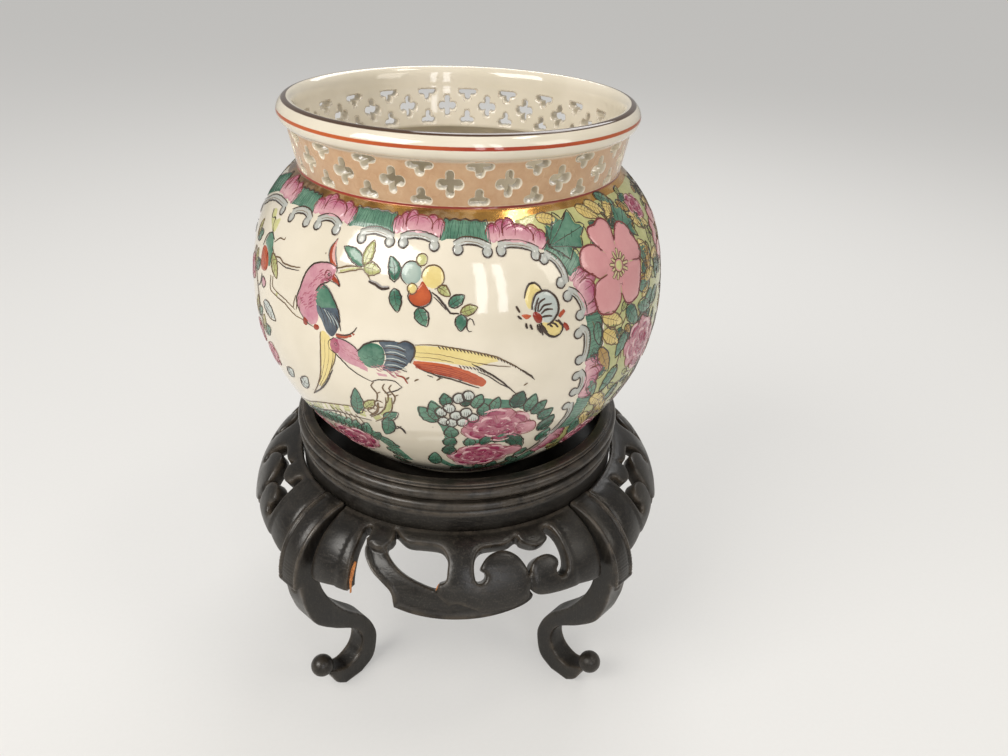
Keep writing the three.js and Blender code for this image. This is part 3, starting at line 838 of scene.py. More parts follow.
def olive_leaf(base, tip, width, bend=0.0, veins=2):
    leaf(base, tip, width, "yellow_green", bend, veins, "brown_ink")


def petal(base, tip, width, enamel="pink", bend=0.0, deep=0.9, pale=0.05, streaks=5, level=1, fullness=1.5,
          outline=0.16):
    """A petal, deep at its base and pale at its lip, with fine streaks."""
    middle, left, right = blade(base, tip, width, bend, fullness)
    patch(enamel, np.vstack([left, right[-2:0:-1]]), fade(base, tip, deep, pale), level=level, steps=2)
    level += 1
    for k in range(streaks):
        across = (k + 0.5) / streaks * 1.6 - 0.8
        reach = brush.randint(4, 6)
        side = left if across > 0 else right
        path = middle[1:reach] + (side - middle)[1:reach] * abs(across)
        stroke("magenta", path, 0.3, level, shade=0.85)
        if k % 3 == 1:
            stroke("pink", path[-3:], 0.34, level, shade=0.0)
    if outline:
        stroke("red_ink", np.vstack([left[1:], right[-2:0:-1]]), outline, level, shade=0.3)


def peony(middle, across, up, turn=0.0, lobes=8, level=1):
    """A full peony: a skirt of petals, an inner cup and a deep heart."""

    def at(angle, reach):
        return turned_places(middle, across * reach * np.cos([angle]), up * reach * np.sin([angle]), turn)[0]

    patch("magenta", oval(middle, across * 0.8, up * 0.8, turn, 12), shade=0.7, level=level)
    size = min(across, up)
    for row, (reach, start, wide) in enumerate(((1.0, 0.1, 0.85), (0.68, 0.55, 0.75))):
        for k in range(lobes - row * 2):
            angle = 2 * math.pi * (k + start) / (lobes - row * 2)
            tip = at(angle, reach * brush.uniform(0.92, 1.06))
            petal(at(angle, 0.12), tip, size * wide * brush.uniform(0.9, 1.1), "magenta",
                  bend=brush.uniform(-0.3, 0.3), deep=1.0, pale=0.4 + 0.2 * row, streaks=4,
                  level=level + row, fullness=1.9, outline=0.16 - 0.16 * row)
    for k in range(lobes + 3):
        angle = 2 * math.pi * (k + 0.5) / (lobes + 3)
        reach = 0.34 + 0.34 * (k % 2) + brush.uniform(-0.06, 0.1)
        for shift, lip, wide, depth in ((0.0, "magenta", 0.26, 1.0), (0.16, "pink", 0.12, 0.0)):
            arc = (-0.34, 0), (0, 0.06), (0.3, 0)
            path = [at(angle + aside, reach + shift + rise) for aside, rise in arc]
            stroke(lip, path, size * wide, level + 2, shade=depth, tail=0.15)
    patch("magenta", oval(at(1.2, 0.1), size * 0.22, size * 0.17, turn, 8), shade=0.95, level=level + 2)
    for k in range(7):
        angle = math.radians(brush.uniform(20, 160))
        stroke("magenta", [at(angle, reach) for reach in (0.1, 0.28, 0.45)], 0.3, level + 3, shade=0.95)


def ribbon(enamel, points, width, level=1, shade=0.5):
    """A band of enamel of even width along a line."""
    line = evenly(smooth_line(points, 5), 1.0)
    side = -right_of(line) * (width / 2)
    patch(enamel, np.vstack([line + side, (line - side)[::-1]]), shade=shade, level=level, steps=1)
    return line + side, line - side


def finish_painting():
    """One piece for each enamel. The whole painting goes round the bowl twice."""
    for enamel, parcel in painted.items():
        far_side = turned_about_axis(np.vstack(parcel.points), math.pi)
        parcel.add(far_side, parcel.faces, shade=np.concatenate(parcel.values["shade"]))
        parcel.piece("painting_" + enamel, "bowl", "porcelain", enamel_material(enamel))


# The picture in the reserve


def upper_bird():
    """The bird that perches at the upper left, its tail hanging down."""
    body = [
        (-26.2, 14.8), (-27.6, 15.4), (-30.2, 15.2), (-32.6, 14.2), (-34.4, 11.8), (-35.4, 8.8), (-36.3, 6),
        (-35, 3.8), (-33, 2.4), (-30.8, 2.2), (-29.6, 4.2), (-30.4, 7.4), (-30, 9.8), (-28.6, 11.6),
        (-26.8, 12.7),
    ]
    patch("pink", body, fade((-36, 4), (-27, 14), 0.65, 0.35), 0.5)
    ink(body[:8], 0.3)
    ink([*body[7:9], (-31, 1.8)], 0.22)
    for k in range(60):
        along = brush.random()
        aside = brush.uniform(-1.9, 1.9)
        place = np.array([-34.2 + 5.6 * along + aside * 0.75, 5 + 8 * along - aside * 0.45])
        stroke("magenta", [place, place + (0.35, 0.5), place + (0.9, 0.8)], 0.36, shade=0.75)
    patch("green", [(-30.7, 9.2), (-29.6, 10.9), (-28, 11), (-26.4, 9.4), (-25.2, 7.2), (-27, 6.6),
                    (-29.4, 6.2), (-30.6, 7.4)], 0.6, 0.8, level=2)
    patch("blue", [(-30.2, 6.8), (-28, 6.9), (-25.3, 7.3), (-24.3, 5.4), (-24.6, 3.4), (-26, 1.2),
                   (-27.6, 1.8), (-28.8, 3.8), (-30, 5.2)], fade((-30, 6), (-26, 2), 0.35, 0.95), level=2)
    ink([(-30.8, 9.4), (-29.4, 11), (-27.6, 10.6), (-26, 8.8), (-24.7, 6.8), (-24.2, 4.6)], level=3)
    for k in range(5):
        start = np.array([-29.4 + k * 0.95, 6.6 - k * 0.1])
        ink([start, start + (1.1, -1.6), start + (1.6, -3.4)], 0.2, 3)
    for k in range(3):
        start = np.array([-28.2 + k * 0.9, 6.3 - k * 0.2])
        stroke("pale_blue", [start, start + (1.2, -1.2), start + (2, -2.4)], 0.3, 3)
    crest = [
        (-28, 20.4), (-28.9, 18.7), (-29, 17.2), (-28.1, 15.4), (-26.4, 15.1), (-27.3, 16.9), (-27.8, 18.6),
    ]
    patch("iron_red", crest, fade((-28, 20), (-27, 15), 0.9, 0.35), level=2)
    ink(crest[:4], 0.22, 3)
    ink([(-27.8, 18.8), (-27.2, 17), (-26.2, 15.2), (-26, 13.9)], 0.22, 3)
    patch("iron_red", [(-26.6, 13.7), (-25.5, 12.9), (-24.8, 11.5), (-26, 11.9), (-27.2, 12.6)], 0.8,
          level=2)
    ink([(-26.4, 13.6), (-25.4, 12.8), (-24.8, 11.5), (-26, 12), (-27.8, 12.2)], 0.2, 3)
    ring("red_ink", (-28, 13.2), 0.85, width=0.2, level=3)
    ring("ink", (-27.8, 13.2), 0.3, width=0.26, level=3)
    ink([(-27.4, 12.1), (-28.6, 11.4), (-29.8, 10.9)], 0.18, 3)
    tail = [(-29.2, 1.4), (-29.4, -3), (-30.2, -8), (-32, -12), (-35, -15.9), (-33, -14.3), (-31, -12.5),
            (-28.8, -9.8), (-26.5, -6), (-25.4, -2.6), (-26.2, 0), (-27.5, 1.6)]
    patch("yellow", tail, fade((-27, 0), (-34, -15), 0.3, 0.1), 0.1)
    brown(tail[:5], 0.26)
    ink([(-35, -15.9), (-31, -12.6), (-28.6, -9.7), (-26.7, -6.4)], 0.34)
    brown([(-27, -6.4), (-25.8, -4), (-25.3, -2)], 0.2)
    for shift in (0.9, 1.9, 2.9):
        brown([(-28.9 + shift, 0), (-29.2 + shift, -4), (-30.6 + shift * 0.8, -8.6),
               (-32.6 + shift * 0.5, -12.4)], 0.14)
    patch("iron_red", oval((-33.4, 2.4), 0.75, 0.9, 0, 8), 0.9, level=2)
    patch("iron_red", oval((-30.3, 2), 0.8, 0.6, 20, 8), 0.85, level=2)


def barbs(line):
    """The short hairs along the lower side of a long feather."""
    for place in evenly(smooth_line(line, 5), 0.7):
        ink([place, place + (0.3, -0.3), place + (0.5, -0.65)], 0.2, shade=0.4)


def lower_bird():
    """The bird with the long tail, flying or stepping to the left."""
    patch("iron_red", [
        (-25.2, 2.1), (-23.2, 2.4), (-21.3, 3.1), (-20.4, 4.4), (-20.7, 2.9), (-22, 1.8), (-23.6, 1.2),
        (-25.2, 1.2),
    ], 0.35, 0.7)
    ink([(-25, 1.9), (-23, 2.2), (-21.4, 3), (-20.4, 4.4)], 0.24)
    patch("pink", [
        (-24.8, 1.3), (-22.5, 1.1), (-20.2, -0.2), (-19.6, -2.4), (-17.4, -4.1), (-14, -4.4), (-11, -3.8),
        (-12, -4.8), (-16, -5.2), (-20, -4.4), (-23, -3.7), (-25, -2.6), (-25.4, -0.4),
    ], fade((-25, 0), (-14, -5), 0.6, 0.2), 0.4)
    patch("magenta", [(-27, -0.4), (-25.9, 1), (-24.6, 0.6), (-24, -0.9), (-25, -2.2), (-26.5, -1.9)], 0.75,
          level=2)
    ink([(-25.2, 1.2), (-23.2, 1.1), (-21.2, 0.4), (-20.2, -0.4)], 0.24)
    ink([(-25.8, 1.1), (-27.2, -0.3), (-26.8, -1.7), (-25.4, -2.4), (-23.6, -3.8), (-22, -5), (-20, -6),
         (-17.6, -6.8)], 0.24)
    ring("ink", (-25.2, -0.2), 0.36, width=0.22, level=3)
    for k in range(46):
        place = np.array([-24.4 + 12.4 * (k / 46), -0.6 - 3.4 * (k / 46) + brush.uniform(-0.9, 0.9)])
        stroke("magenta", [place, place + (0.5, -0.3), place + (1.0, -0.35)], 0.24)
    patch("green", [(-20.3, -1), (-19, 0.9), (-16.8, 1.8), (-15, 1.2), (-14.5, -1), (-15.4, -3),
                    (-17.8, -3.6), (-19.6, -2.6)], 0.6, 0.85, level=2)
    patch("blue", [
        (-15.6, 2.3), (-12.6, 2.8), (-10.6, 2.5), (-9.7, 0.8), (-9.6, -1.1), (-11, -2.7), (-13, -3.6),
        (-15, -3.5), (-14.2, -1), (-14.8, 1),
    ], fade((-15, 0), (-10, 0), 0.35, 0.6), 0.7, level=2)
    patch("blue", [
        (-11.7, 2.6), (-10, 3), (-8.8, 2.4), (-8.6, 0.8), (-9.4, -1.2), (-10.5, -0.6), (-10.9, 1),
    ], 0.75, level=3)
    ink([(-20.4, -0.6), (-18.4, 1.4), (-15.6, 2.5), (-12.3, 2.9)], 0.3, 3)
    ink([(-11.9, 2.4), (-10.4, 3.2), (-8.7, 2.5), (-8.5, 0.7), (-9.4, -1.3)], level=4)
    for k in range(4):
        up = 1.7 - k * 1.35
        stroke("pale_blue", [(-14.3, up), (-12.8, up + 0.3), (-11.4, up + 0.1), (-10.2, up - 0.3)], 0.22, 4)
        ink([(-14.8, up - 0.5), (-13, up - 0.25), (-11.2, up - 0.5), (-10, up - 0.9)], 0.2, 4)
    for k in range(4):
        ring("dark_green", (-18.6 + k * 1.05, -1 + 0.5 * (k % 2)), 0.75, start=200, end=350, width=0.22,
             level=3)
    tail = [
        (-8.6, 2.4), (-4, 2.7), (0, 2.2), (3, 1.6), (6.5, 0.6), (9, -0.6), (6, -1), (3, -1.7), (0, -1.2),
        (-4, -0.7), (-8.4, -0.5),
    ]
    patch("yellow", tail, fade((-8, 0), (8, -1), 0.35, 0.05), 0.1)
    brown([(-8.4, 2.6), (-4, 2.8), *tail[2:6], (12, -2.7), (14.7, -5)], 0.24)
    ink([(12.2, -2.9), (13.4, -3.8), (14.8, -5.1)], 0.36)
    brown([(-8.2, 1.1), (-4, 1), (0, 0.2), (2.5, -0.5), (6.5, -1.4), (10, -2)], 0.2)
    brown([(-8.4, 0.2), (-4.5, 0.1), (-1, -0.6)], 0.16)
    ink([(2.4, -0.8), (5, -2.5), (8, -4.8), (11.1, -8)], 0.32)
    ink([(3.6, -2.6), (6, -3.9), (8, -5.6), (10.2, -7.1)], 0.2)
    flame = [
        (-9.3, -0.7), (-6, -0.6), (-3, -0.9), (0, -1.6), (3, -2.9), (5.4, -4.7), (4.6, -6.2), (2, -5.4),
        (-1, -4.2), (-4.5, -3.4), (-8, -2.2),
    ]
    patch("iron_red", flame, 0.3, 0.15)
    ink([(-7.6, -2.3), (-4.4, -3.5), (-1, -4.4), (2, -5.6), (4, -6.4)], 0.3, shade=0.4)
    for line in (
        tail[1:6], [(0, -1.2), (3, -1.7), (6, -3.2), (8, -4.8), (11.1, -8)],
        [(9, -0.6), (12, -2.7), (14.7, -5)],
    ):
        barbs(line)
    for k in range(5):
        drop = k * 0.42
        stroke("iron_red", [
            (-8.4, -1.4 - drop * 0.4), (-4, -1.5 - drop), (0, -2.5 - drop), (3.4, -4.2 - drop * 0.6),
        ], 0.3, shade=0.85)
    for k in range(4):
        ink([(-6 + k * 1.9, -3.6 - 0.2 * k), (-5 + k * 1.9, -4 - 0.2 * k)], 0.2)
    ink([(-17.6, -6.8), (-16, -6.1), (-13, -5.7), (-11.2, -7)], 0.22)
    ink([(-11.2, -7), (-12.4, -8), (-15, -9.1)], 0.22)
    for x in (-17.2, -14.8, -13.4):
        brown([(x, -6.8), (x - 0.6, -8), (x + 0.5, -9.6), (x + 0.1, -11.6)], 0.3)
        brown([(x + 0.5, -9.6), (x + 1.3, -9)], 0.22)
    stroke("iron_red", [(-12.2, -4.4), (-10.8, -4.6), (-10, -6)], 0.4, shade=0.9)


def fruiting_branch():
    """The branch with fruit and leaves at the upper middle."""
    brown([(-26.2, 14.8), (-23, 15.9), (-20.4, 16)], 0.3)
    brown([(-25.6, 14), (-22, 15.2), (-20.3, 15.7), (-19, 14.9), (-18, 13.8)], 0.24)
    ribbon("yellow_green", [(-25.4, 14.4), (-22.4, 15.5), (-20.2, 15.8), (-18.4, 14.4)], 0.5, shade=0.3)
    ink([(-18.4, 13.8), (-16.8, 13.4), (-15.6, 12.8), (-14, 13.1)], 0.7, tail=0.6)
    leaf((-20.2, 16.3), (-25.8, 19.2), 2.3, bend=-0.4, veins=0)
    olive_leaf((-20, 16.4), (-18.9, 21.6), 2.2)
    olive_leaf((-20, 16.2), (-16.1, 15.9), 2.4)
    leaf((-13, 14.3), (-14.6, 19), 2.5, bend=-0.5, veins=2)
    leaf((-13, 13.1), (-12, 8.6), 2.4)
    leaf((-8, 9.9), (-6.2, 6.4), 2.6)
    patch("celadon", oval((-9.7, 16.2), 2.15, 2.25), 0.2, 0.75)
    ring("ink", (-9.7, 16.2), 2.2, 2.3, 30, 250, width=0.24)
    patch("yellow", oval((-5.3, 15.8), 2.25, 2.2), 0.3, 0.1)
    ring("brown_ink", (-5.3, 15.8), 2.3, 2.25, -80, 190, width=0.24)
    patch("yellow_green", oval((-7.8, 18.9), 1.1, 1.1, 0, 8), 0.15)
    ring("brown_ink", (-7.8, 18.9), 1.2, width=0.22)
    patch("iron_red", [
        (-7.3, 14.9), (-6.2, 13.6), (-5.4, 12.4), (-6.1, 10.8), (-7.8, 10.2), (-9.6, 10.7), (-9.9, 12),
        (-9, 13.2), (-8, 13.9),
    ], 0.12, 0.45, reach=1.4, level=2)
    ring("ink", (-7.7, 12.1), 2.35, 2.05, 150, 400, width=0.26, level=3)
    patch("yellow", oval((-9.3, 13.4), 0.95, 0.9, 0, 8), 0.2, level=3)
    ring("brown_ink", (-9.3, 13.4), 1.0, width=0.2, level=4)
    stroke("iron_red", [(-8.6, 12.9), (-7.8, 13.3), (-7.2, 14.4)], 0.5, 3, shade=0.1)
    ink([(-5.4, 13), (-4, 12), (-2.3, 10), (-1.6, 9.2), (0, 9.2)], 0.36)
    ink([(-5, 12.2), (-3.6, 11), (-2.6, 9.8)], 0.2)
    olive_leaf((-4.3, 14), (-1.8, 12.4), 1.7, bend=0.2)
    leaf((-2, 10.5), (1, 12.6), 2.1, veins=2)
    olive_leaf((0.2, 9.3), (3.6, 10.4), 1.9)
    leaf((0.4, 9), (0.3, 5.7), 2.2, veins=0)
    ring("ink", (2.1, 6.9), 0.7, 1.3, 0, 300, width=0.22)


def butterfly():
    """The butterfly at the right of the reserve, its wings folded up."""
    back_wing = [
        (13.4, 9.6), (12.9, 11.4), (13.3, 12.9), (14, 14), (15.2, 14.2), (16.2, 13.4), (16.8, 12.4),
        (15.5, 11.9), (14.6, 10.7), (14.1, 8.9),
    ]
    patch("yellow", back_wing, 0.25, 0.1)
    ink(back_wing[1:7], 0.36)
    wing = [(14.4, 9.2), (14.6, 10.7), (15.3, 12), (16.4, 12.4), (17.6, 12.5), (18.9, 11.8), (19.9, 10.5),
            (20.2, 9.2), (20, 7.9), (19.3, 7), (18.5, 6.1), (17.5, 5.8), (16.2, 7.1)]
    patch("pale_blue", wing, 0.6, 0.3)
    ink(wing[:7], 0.36, 3, tail=0.7)
    ink(wing[5:12], 0.4, 3, tail=0.7)
    for rib in (
        [(15.1, 8.6), (15.2, 10), (15.9, 11.3)], [(15.5, 8.6), (15.9, 10.3), (17.3, 11)],
        [(15.9, 8.6), (16.9, 9.7), (18.6, 9.8)], [(16.2, 8.1), (17.3, 8.8), (18.8, 8.7)],
        [(16.4, 7.5), (17.6, 7.6), (18.6, 7.3)],
    ):
        ink(rib, 0.38, 3, tail=0.5)
    lower_wing = [
        (16.2, 6.4), (16.6, 4.9), (17.9, 3.6), (19.2, 3.1), (20.3, 3.4), (20.9, 4.4), (20.8, 5.4),
        (19.9, 6.5), (18.6, 6.3),
    ]
    patch("yellow", lower_wing, 0.3, 0.1)
    ink(lower_wing[:5], 0.42, 3, tail=0.6)
    ink(lower_wing[4:8], 0.32, 3, tail=0.6)
    for rib in (
        [(16.2, 6.2), (16.9, 5.2), (17.5, 4.3)], [(15.8, 6.2), (16.2, 4.9), (16.6, 3.8)],
        [(15.4, 6.2), (15.6, 5.2), (16.1, 4.4)], [(17.9, 5.9), (18.3, 5.5), (18.7, 5.2)],
        [(18.5, 6), (19.3, 5.7), (19.9, 4.9)], [(19.3, 6.4), (20.1, 6.1), (20.6, 5.3)],
    ):
        ink(rib, 0.36, 3, tail=0.5)
    patch("iron_red", [(14.5, 8), (14.9, 8.7), (15.9, 8.4), (16.5, 7.4), (16.2, 6.4), (15.2, 6.6)], 1.0,
          level=3)
    patch("iron_red", [(12.2, 8.3), (13.1, 8.4), (14.2, 8), (13.2, 7.4)], 0.25, level=2)
    stroke("iron_red", [(20.2, 7), (20.7, 7.5), (21.5, 8)], 0.9, shade=0.45, tail=0.7)
    stroke("iron_red", [(21.1, 5.4), (21.7, 4.8), (22.2, 3.9)], 1.0, shade=0.95, tail=0.7)
    for points in (
        [(11.1, 10.2), (11.4, 9.6), (11.8, 8.9)], [(11.4, 8.3), (11.8, 7.9), (12.2, 7.6)],
        [(13.1, 6.7), (13.1, 6.2), (13.3, 5.6)], [(13.9, 6.3), (14.1, 5.8), (14.3, 5.3)],
    ):
        ink(points, 0.4, 3, tail=0.6)


def left_twigs():
    """What grows behind the upper bird, at the left end of the reserve."""
    brown([(-36.2, 12.6), (-38, 12.3), (-42, 11.9), (-44, 12.5), (-46.5, 12.2), (-48.2, 13.6)], 0.3)
    ink([(-36.4, 12), (-41, 11.3), (-44.4, 11.5), (-45.4, 10.3)], 0.22)
    brown([(-48, 14.6), (-46, 16.1), (-44.2, 16.2), (-43.8, 16.8)], 0.24)
    olive_leaf((-47.6, 12.4), (-44, 8), 2.6, veins=3)
    patch("green", [(-53.2, 13), (-51.6, 15.8), (-49.6, 16), (-48, 13.8), (-47.6, 10.6), (-48.6, 8.6),
                    (-50, 11.4), (-51.6, 12.6)], 0.5, 0.7)
    patch("iron_red", [
        (-53.6, 12), (-51.6, 12.5), (-49.6, 11.2), (-49, 9.2), (-50.4, 7.6), (-53, 7.4), (-54, 9.6),
    ], 0.3, 0.6, level=2)
    patch("yellow_green", [
        (-55.8, 20), (-54, 20.6), (-51.6, 18.8), (-49.6, 19.8), (-49.2, 17), (-50.6, 16), (-53, 17.2),
        (-54.8, 18.2),
    ], 0.15)
    ink([(-55.8, 20), (-54.4, 18.4), (-52.2, 18.8), (-51.2, 17.2), (-50.2, 16.1), (-48.2, 15)], 0.3)
    ink([(-53.6, 12.2), (-52.4, 15), (-50.2, 16.2)], 0.24, 3)
    for k in range(4):
        stroke("iron_red", [(-53.2 + k, 11.8), (-53 + k, 9.8), (-52.6 + k, 8)], 0.26, 3, shade=0.9)
    ribbon("yellow_green", [(-46.4, 8), (-46.2, 5.4), (-44, 4.8), (-40, 4.3), (-37.2, 3.2), (-34.2, 2.6)],
           0.8, shade=0.2)
    brown([(-46.8, 8), (-46.6, 5), (-44, 4.4), (-40, 3.9), (-37.2, 2.8), (-34, 2.4)], 0.24)
    brown([(-45.8, 8), (-45.6, 5.9), (-43.6, 5.3), (-40, 4.8), (-36.6, 3.8)], 0.2)
    for k in range(3):
        brown([(-37.2 + k, 4), (-37 + k, 5.6), (-36.4 + k, 7)], 0.2)
    leaf((-50.6, 0.6), (-44.2, -1.4), 3.0, "pale_blue", bend=0.2)
    leaf((-52, 4.6), (-49.4, 5.4), 2.2, "pink", veins=0)
    ink([(-55.4, 2.6), (-53, 4), (-52, 6.6)], 0.32)
    for place in ((-56, -4), (-58, 6), (-60, 12), (-52, -7)):
        leaf(place, (place[0] + 4.4, place[1] + 2.6), 2.4)
        olive_leaf(place, (place[0] + 1.2, place[1] + 4.6), 2.2)
    brown([(-64, 2), (-60, 10), (-57, 6), (-54, 0), (-53, -7)], 0.4)
    for middle in ((-61, 5), (-57.5, -9), (-50, -12)):
        peony(middle, 3.4, 3, turn=20, lobes=6)


def lower_branches():
    """Branch, leaves and the peony at the lower left."""
    for k, shade in ((0, 0.25), (1, 0.5)):
        ribbon("yellow_green", [
            (-52, -27 - k), (-46, -24.5 - k), (-41, -22.4 - k), (-36, -19.8 - k), (-30, -17.4 - k),
            (-24, -15.8 - k), (-19.6, -16.6 - k),
        ], 1.1, shade=shade)
    brown([(-52, -26.4), (-41, -21.8), (-36, -19.2), (-30, -16.9), (-24, -15.2), (-20, -15.6)], 0.26)
    ink([(-50, -28.6), (-41, -24.2), (-35, -21.4), (-29, -19), (-23, -18.4), (-19.6, -18.2)], 0.26)
    leaf((-38.6, -15.6), (-35.2, -11.4), 2.4, "pale_blue", veins=2)
    leaf((-44, -14.6), (-40.6, -11.8), 2.4, "pale_blue", veins=2)
    leaf((-22.8, -17.2), (-21.6, -9.4), 2.9, bend=-0.3, veins=4)
    olive_leaf((-20.4, -14.6), (-17.4, -11.5), 1.9)
    leaf((-16.2, -16.6), (-12.6, -14), 2.3, veins=2)
    leaf((-15, -15.8), (-17.2, -22.6), 3, bend=0.4)
    brown([(-16.8, -12), (-17.4, -14.6), (-19.6, -16.6)], 0.5)
    ribbon("yellow_green", [(-14.2, -10), (-14.6, -13), (-16.4, -15.6), (-19, -17.6)], 1.3, shade=0.45)
    brown([(-13.6, -10), (-13.9, -13.2), (-15.8, -16), (-18.6, -18.2)], 0.3)
    brown([(-14.9, -10.2), (-15.3, -12.8), (-17, -15.2), (-19.4, -17)], 0.3)
    for middle in ((-18.6, -14.8), (-16.6, -12.4)):
        ring("brown_ink", middle, 1.1, 0.9, start=40, end=320, width=0.3)
    for k in range(6):
        brown([(-30.6 + k * 1.4, -17.6), (-29.8 + k * 1.5, -19.4), (-30.4 + k * 1.6, -20.8)], 0.2)
    for k in range(8):
        base = (-41 + 2.6 * k, -27 + 0.75 * k - 0.05 * k * k)
        leaf(base, (base[0] + 1.4 + 0.3 * (k % 3), base[1] + 4.6), 2.6, veins=2, shade=0.45)
    ribbon("green", [(-42, -25.4), (-35, -22.6), (-28, -21.8), (-21, -23.6), (-17.4, -28), (-14.6, -36)],
           3.2, 1, 0.5)
    leaf((-24.8, -24.8), (-22, -20.6), 2.2, "dark_green")
    leaf((-22, -26.8), (-18.6, -22.4), 2.2, "dark_green")
    peony((-29, -29.6), 9.0, 5.2, turn=25, lobes=9)
    peony((-45, -33), 7, 4.6, turn=30)
    for k in range(6):
        base = (-19.4 + 0.9 * (k % 2), -24.4 - 2.6 * k)
        leaf(base, (base[0] + 3.6, base[1] - 2.8 + 2 * (k % 2)), 2.4, veins=2, shade=0.45)
    ink([(-13.6, -18.5), (-12.4, -19.4), (-12, -20.8)], 0.5)
    ink([(-13.9, -19.6), (-12.6, -18.4)], 0.3)
    for place in ((-8.6, -5.2), (-4.3, -4.6), (13, -6.7), (-10.4, -5)):
        brown([place, (place[0] + 0.8, place[1] + 0.5)], 0.3)


def right_bouquet():
    """Peonies, white blossom and leaves at the lower right."""
    peony((8.6, -17.6), 8.2, 5.6, turn=-8, lobes=9)
    petal((12, -17), (17.4, -20.4), 4.6, "magenta", deep=0.8, pale=0.1, level=3)
    for line, width in (
        ([(-5.4, -12.6), (-3.2, -16), (-2, -21), (-2, -27)], 2.4),
        ([(2.4, -9.6), (8, -10.6), (14, -12), (19, -16), (20.8, -22)], 2.4),
        ([(1, -23.4), (6.4, -22.4), (12, -23.4)], 2.2),
        ([(-6.4, -31), (-3, -36), (2, -39.6), (10, -39.6), (16, -36)], 2.6),
    ):
        ribbon("green", line, width, 1, 0.6)
    peony((5.4, -30), 8.4, 6.4, turn=8, lobes=9)
    petal((9, -28), (16.6, -29), 5.2, "magenta", pale=0.15, level=3)
    leaves = (
        ((-4.6, -15.6), (-8, -11.4), 3.2), ((-4, -15), (-5.6, -9.8), 3), ((-2.3, -11), (-2.8, -7.7), 2.4),
        ((1.2, -11), (1.6, -7), 2.3), ((3, -11.4), (4.6, -7.9), 2.4), ((5.2, -13.8), (5, -10), 2.6),
        ((6.8, -12.6), (8, -8.8), 2.2), ((11.4, -12.2), (13, -8), 3.4), ((14.4, -13.8), (15.8, -9.3), 2.8),
        ((15.6, -14.8), (18.6, -11.4), 2.6), ((17.6, -17), (20.6, -14.4), 3),
        ((18.8, -21.6), (21.6, -16.8), 3.4), ((20, -26.4), (21.8, -21.4), 3.2),
        ((-1.4, -20.9), (-1.8, -16.8), 3), ((-2.6, -24.6), (-1.2, -20.6), 3), ((-2.4, -29), (-2, -24), 3.2),
        ((2.6, -24.8), (2.6, -20.6), 2.6), ((5.4, -24.2), (7.4, -20), 2.5), ((8.4, -23.6), (11, -18.8), 2.8),
        ((11, -20.6), (16.4, -27.6), 3.4), ((-6.8, -36), (-5.8, -28), 3.4), ((9.8, -40), (10.4, -34.6), 3.2),
        ((14, -33), (17.8, -38), 3), ((1, -37), (-2.6, -41), 3.2), ((18, -29), (15.6, -33.6), 2.6),
        ((5.6, -36), (6.8, -41), 3),
    )
    for k, (base, tip, width) in enumerate(leaves):
        leaf(base, tip, width, "dark_green" if k % 4 == 3 else "green", shade=0.6, level=2)
    for place in (
        (-3.6, -12.5), (-1.9, -11.4), (-3.1, -15.2), (-0.6, -13.4), (1.5, -12.6), (-1.4, -15.6), (0, -8.8),
        (1.9, -8.2), (0.8, -15.4), (3, -14.2),
    ):
        place = np.array(place)
        turn = brush.uniform(-40, 40)
        patch("pale_blue", oval(place, 1.15, 1.25, turn), 0.3, 0.0, level=3, steps=2)
        ring("ink", place, 1.2, 1.3, turn=turn, width=0.3, level=4)
        for aside in (-0.4, 0.1, 0.5):
            ink([place + (aside, -0.8), place + (aside * 0.8, -0.2), place + (aside, 0.3)], 0.16, 4)


# The scrolled border of the reserve and the flower ground round it


RESERVE_MIDDLE = -24.0
TUCK = 1.1


def mirrored(points):
    """The same line on the other side of the reserve, still running clockwise."""
    return [(2 * RESERVE_MIDDLE - x, y) for x, y in points][::-1]


def scroll(points):
    """One C-scroll: a grey band with curled ends, double lined in ink."""
    line = evenly(smooth_line(points, 5), 1.2)
    into = right_of(line)
    first, last = line[0] + into[0] * 1.15, line[-1] + into[-1] * 1.15
    path = np.vstack([first + (line[0] - first) * 0.3, line, last + (line[-1] - last) * 0.3])
    outer, inner = ribbon("scroll_grey", path, 1.5, level=2, shade=0.6)
    for curl in (first, last):
        patch("scroll_grey", oval(curl, 1.0, 1.0, 0, 8), 0.5, 0.8, level=2)
    ink(outer[1:-1], 0.26, 3, shade=0.3)
    ink(inner[2:-2], 0.3, 3)
    brown((line + into * 0.2)[1:-1], 0.14, 3, shade=0.2)
    for curl, back, side in ((first, into[0], 1), (last, into[-1], -1)):
        away = math.degrees(math.atan2(-back[1], -back[0]))
        ring("ink", curl, 1.1, start=away + side * 25, end=away + side * 290, level=3)


def tucked_in(start, end, height):
    """The foot of one part of the border, tucked in under the scrolls."""
    start, end = np.array(start, float), np.array(end, float)
    along = (end - start) / np.hypot(*end - start)
    out = np.array([-along[1], along[0]])
    return (start - out * TUCK - along * TUCK / 2, end - out * TUCK + along * TUCK / 2, height + TUCK, along,
            out)


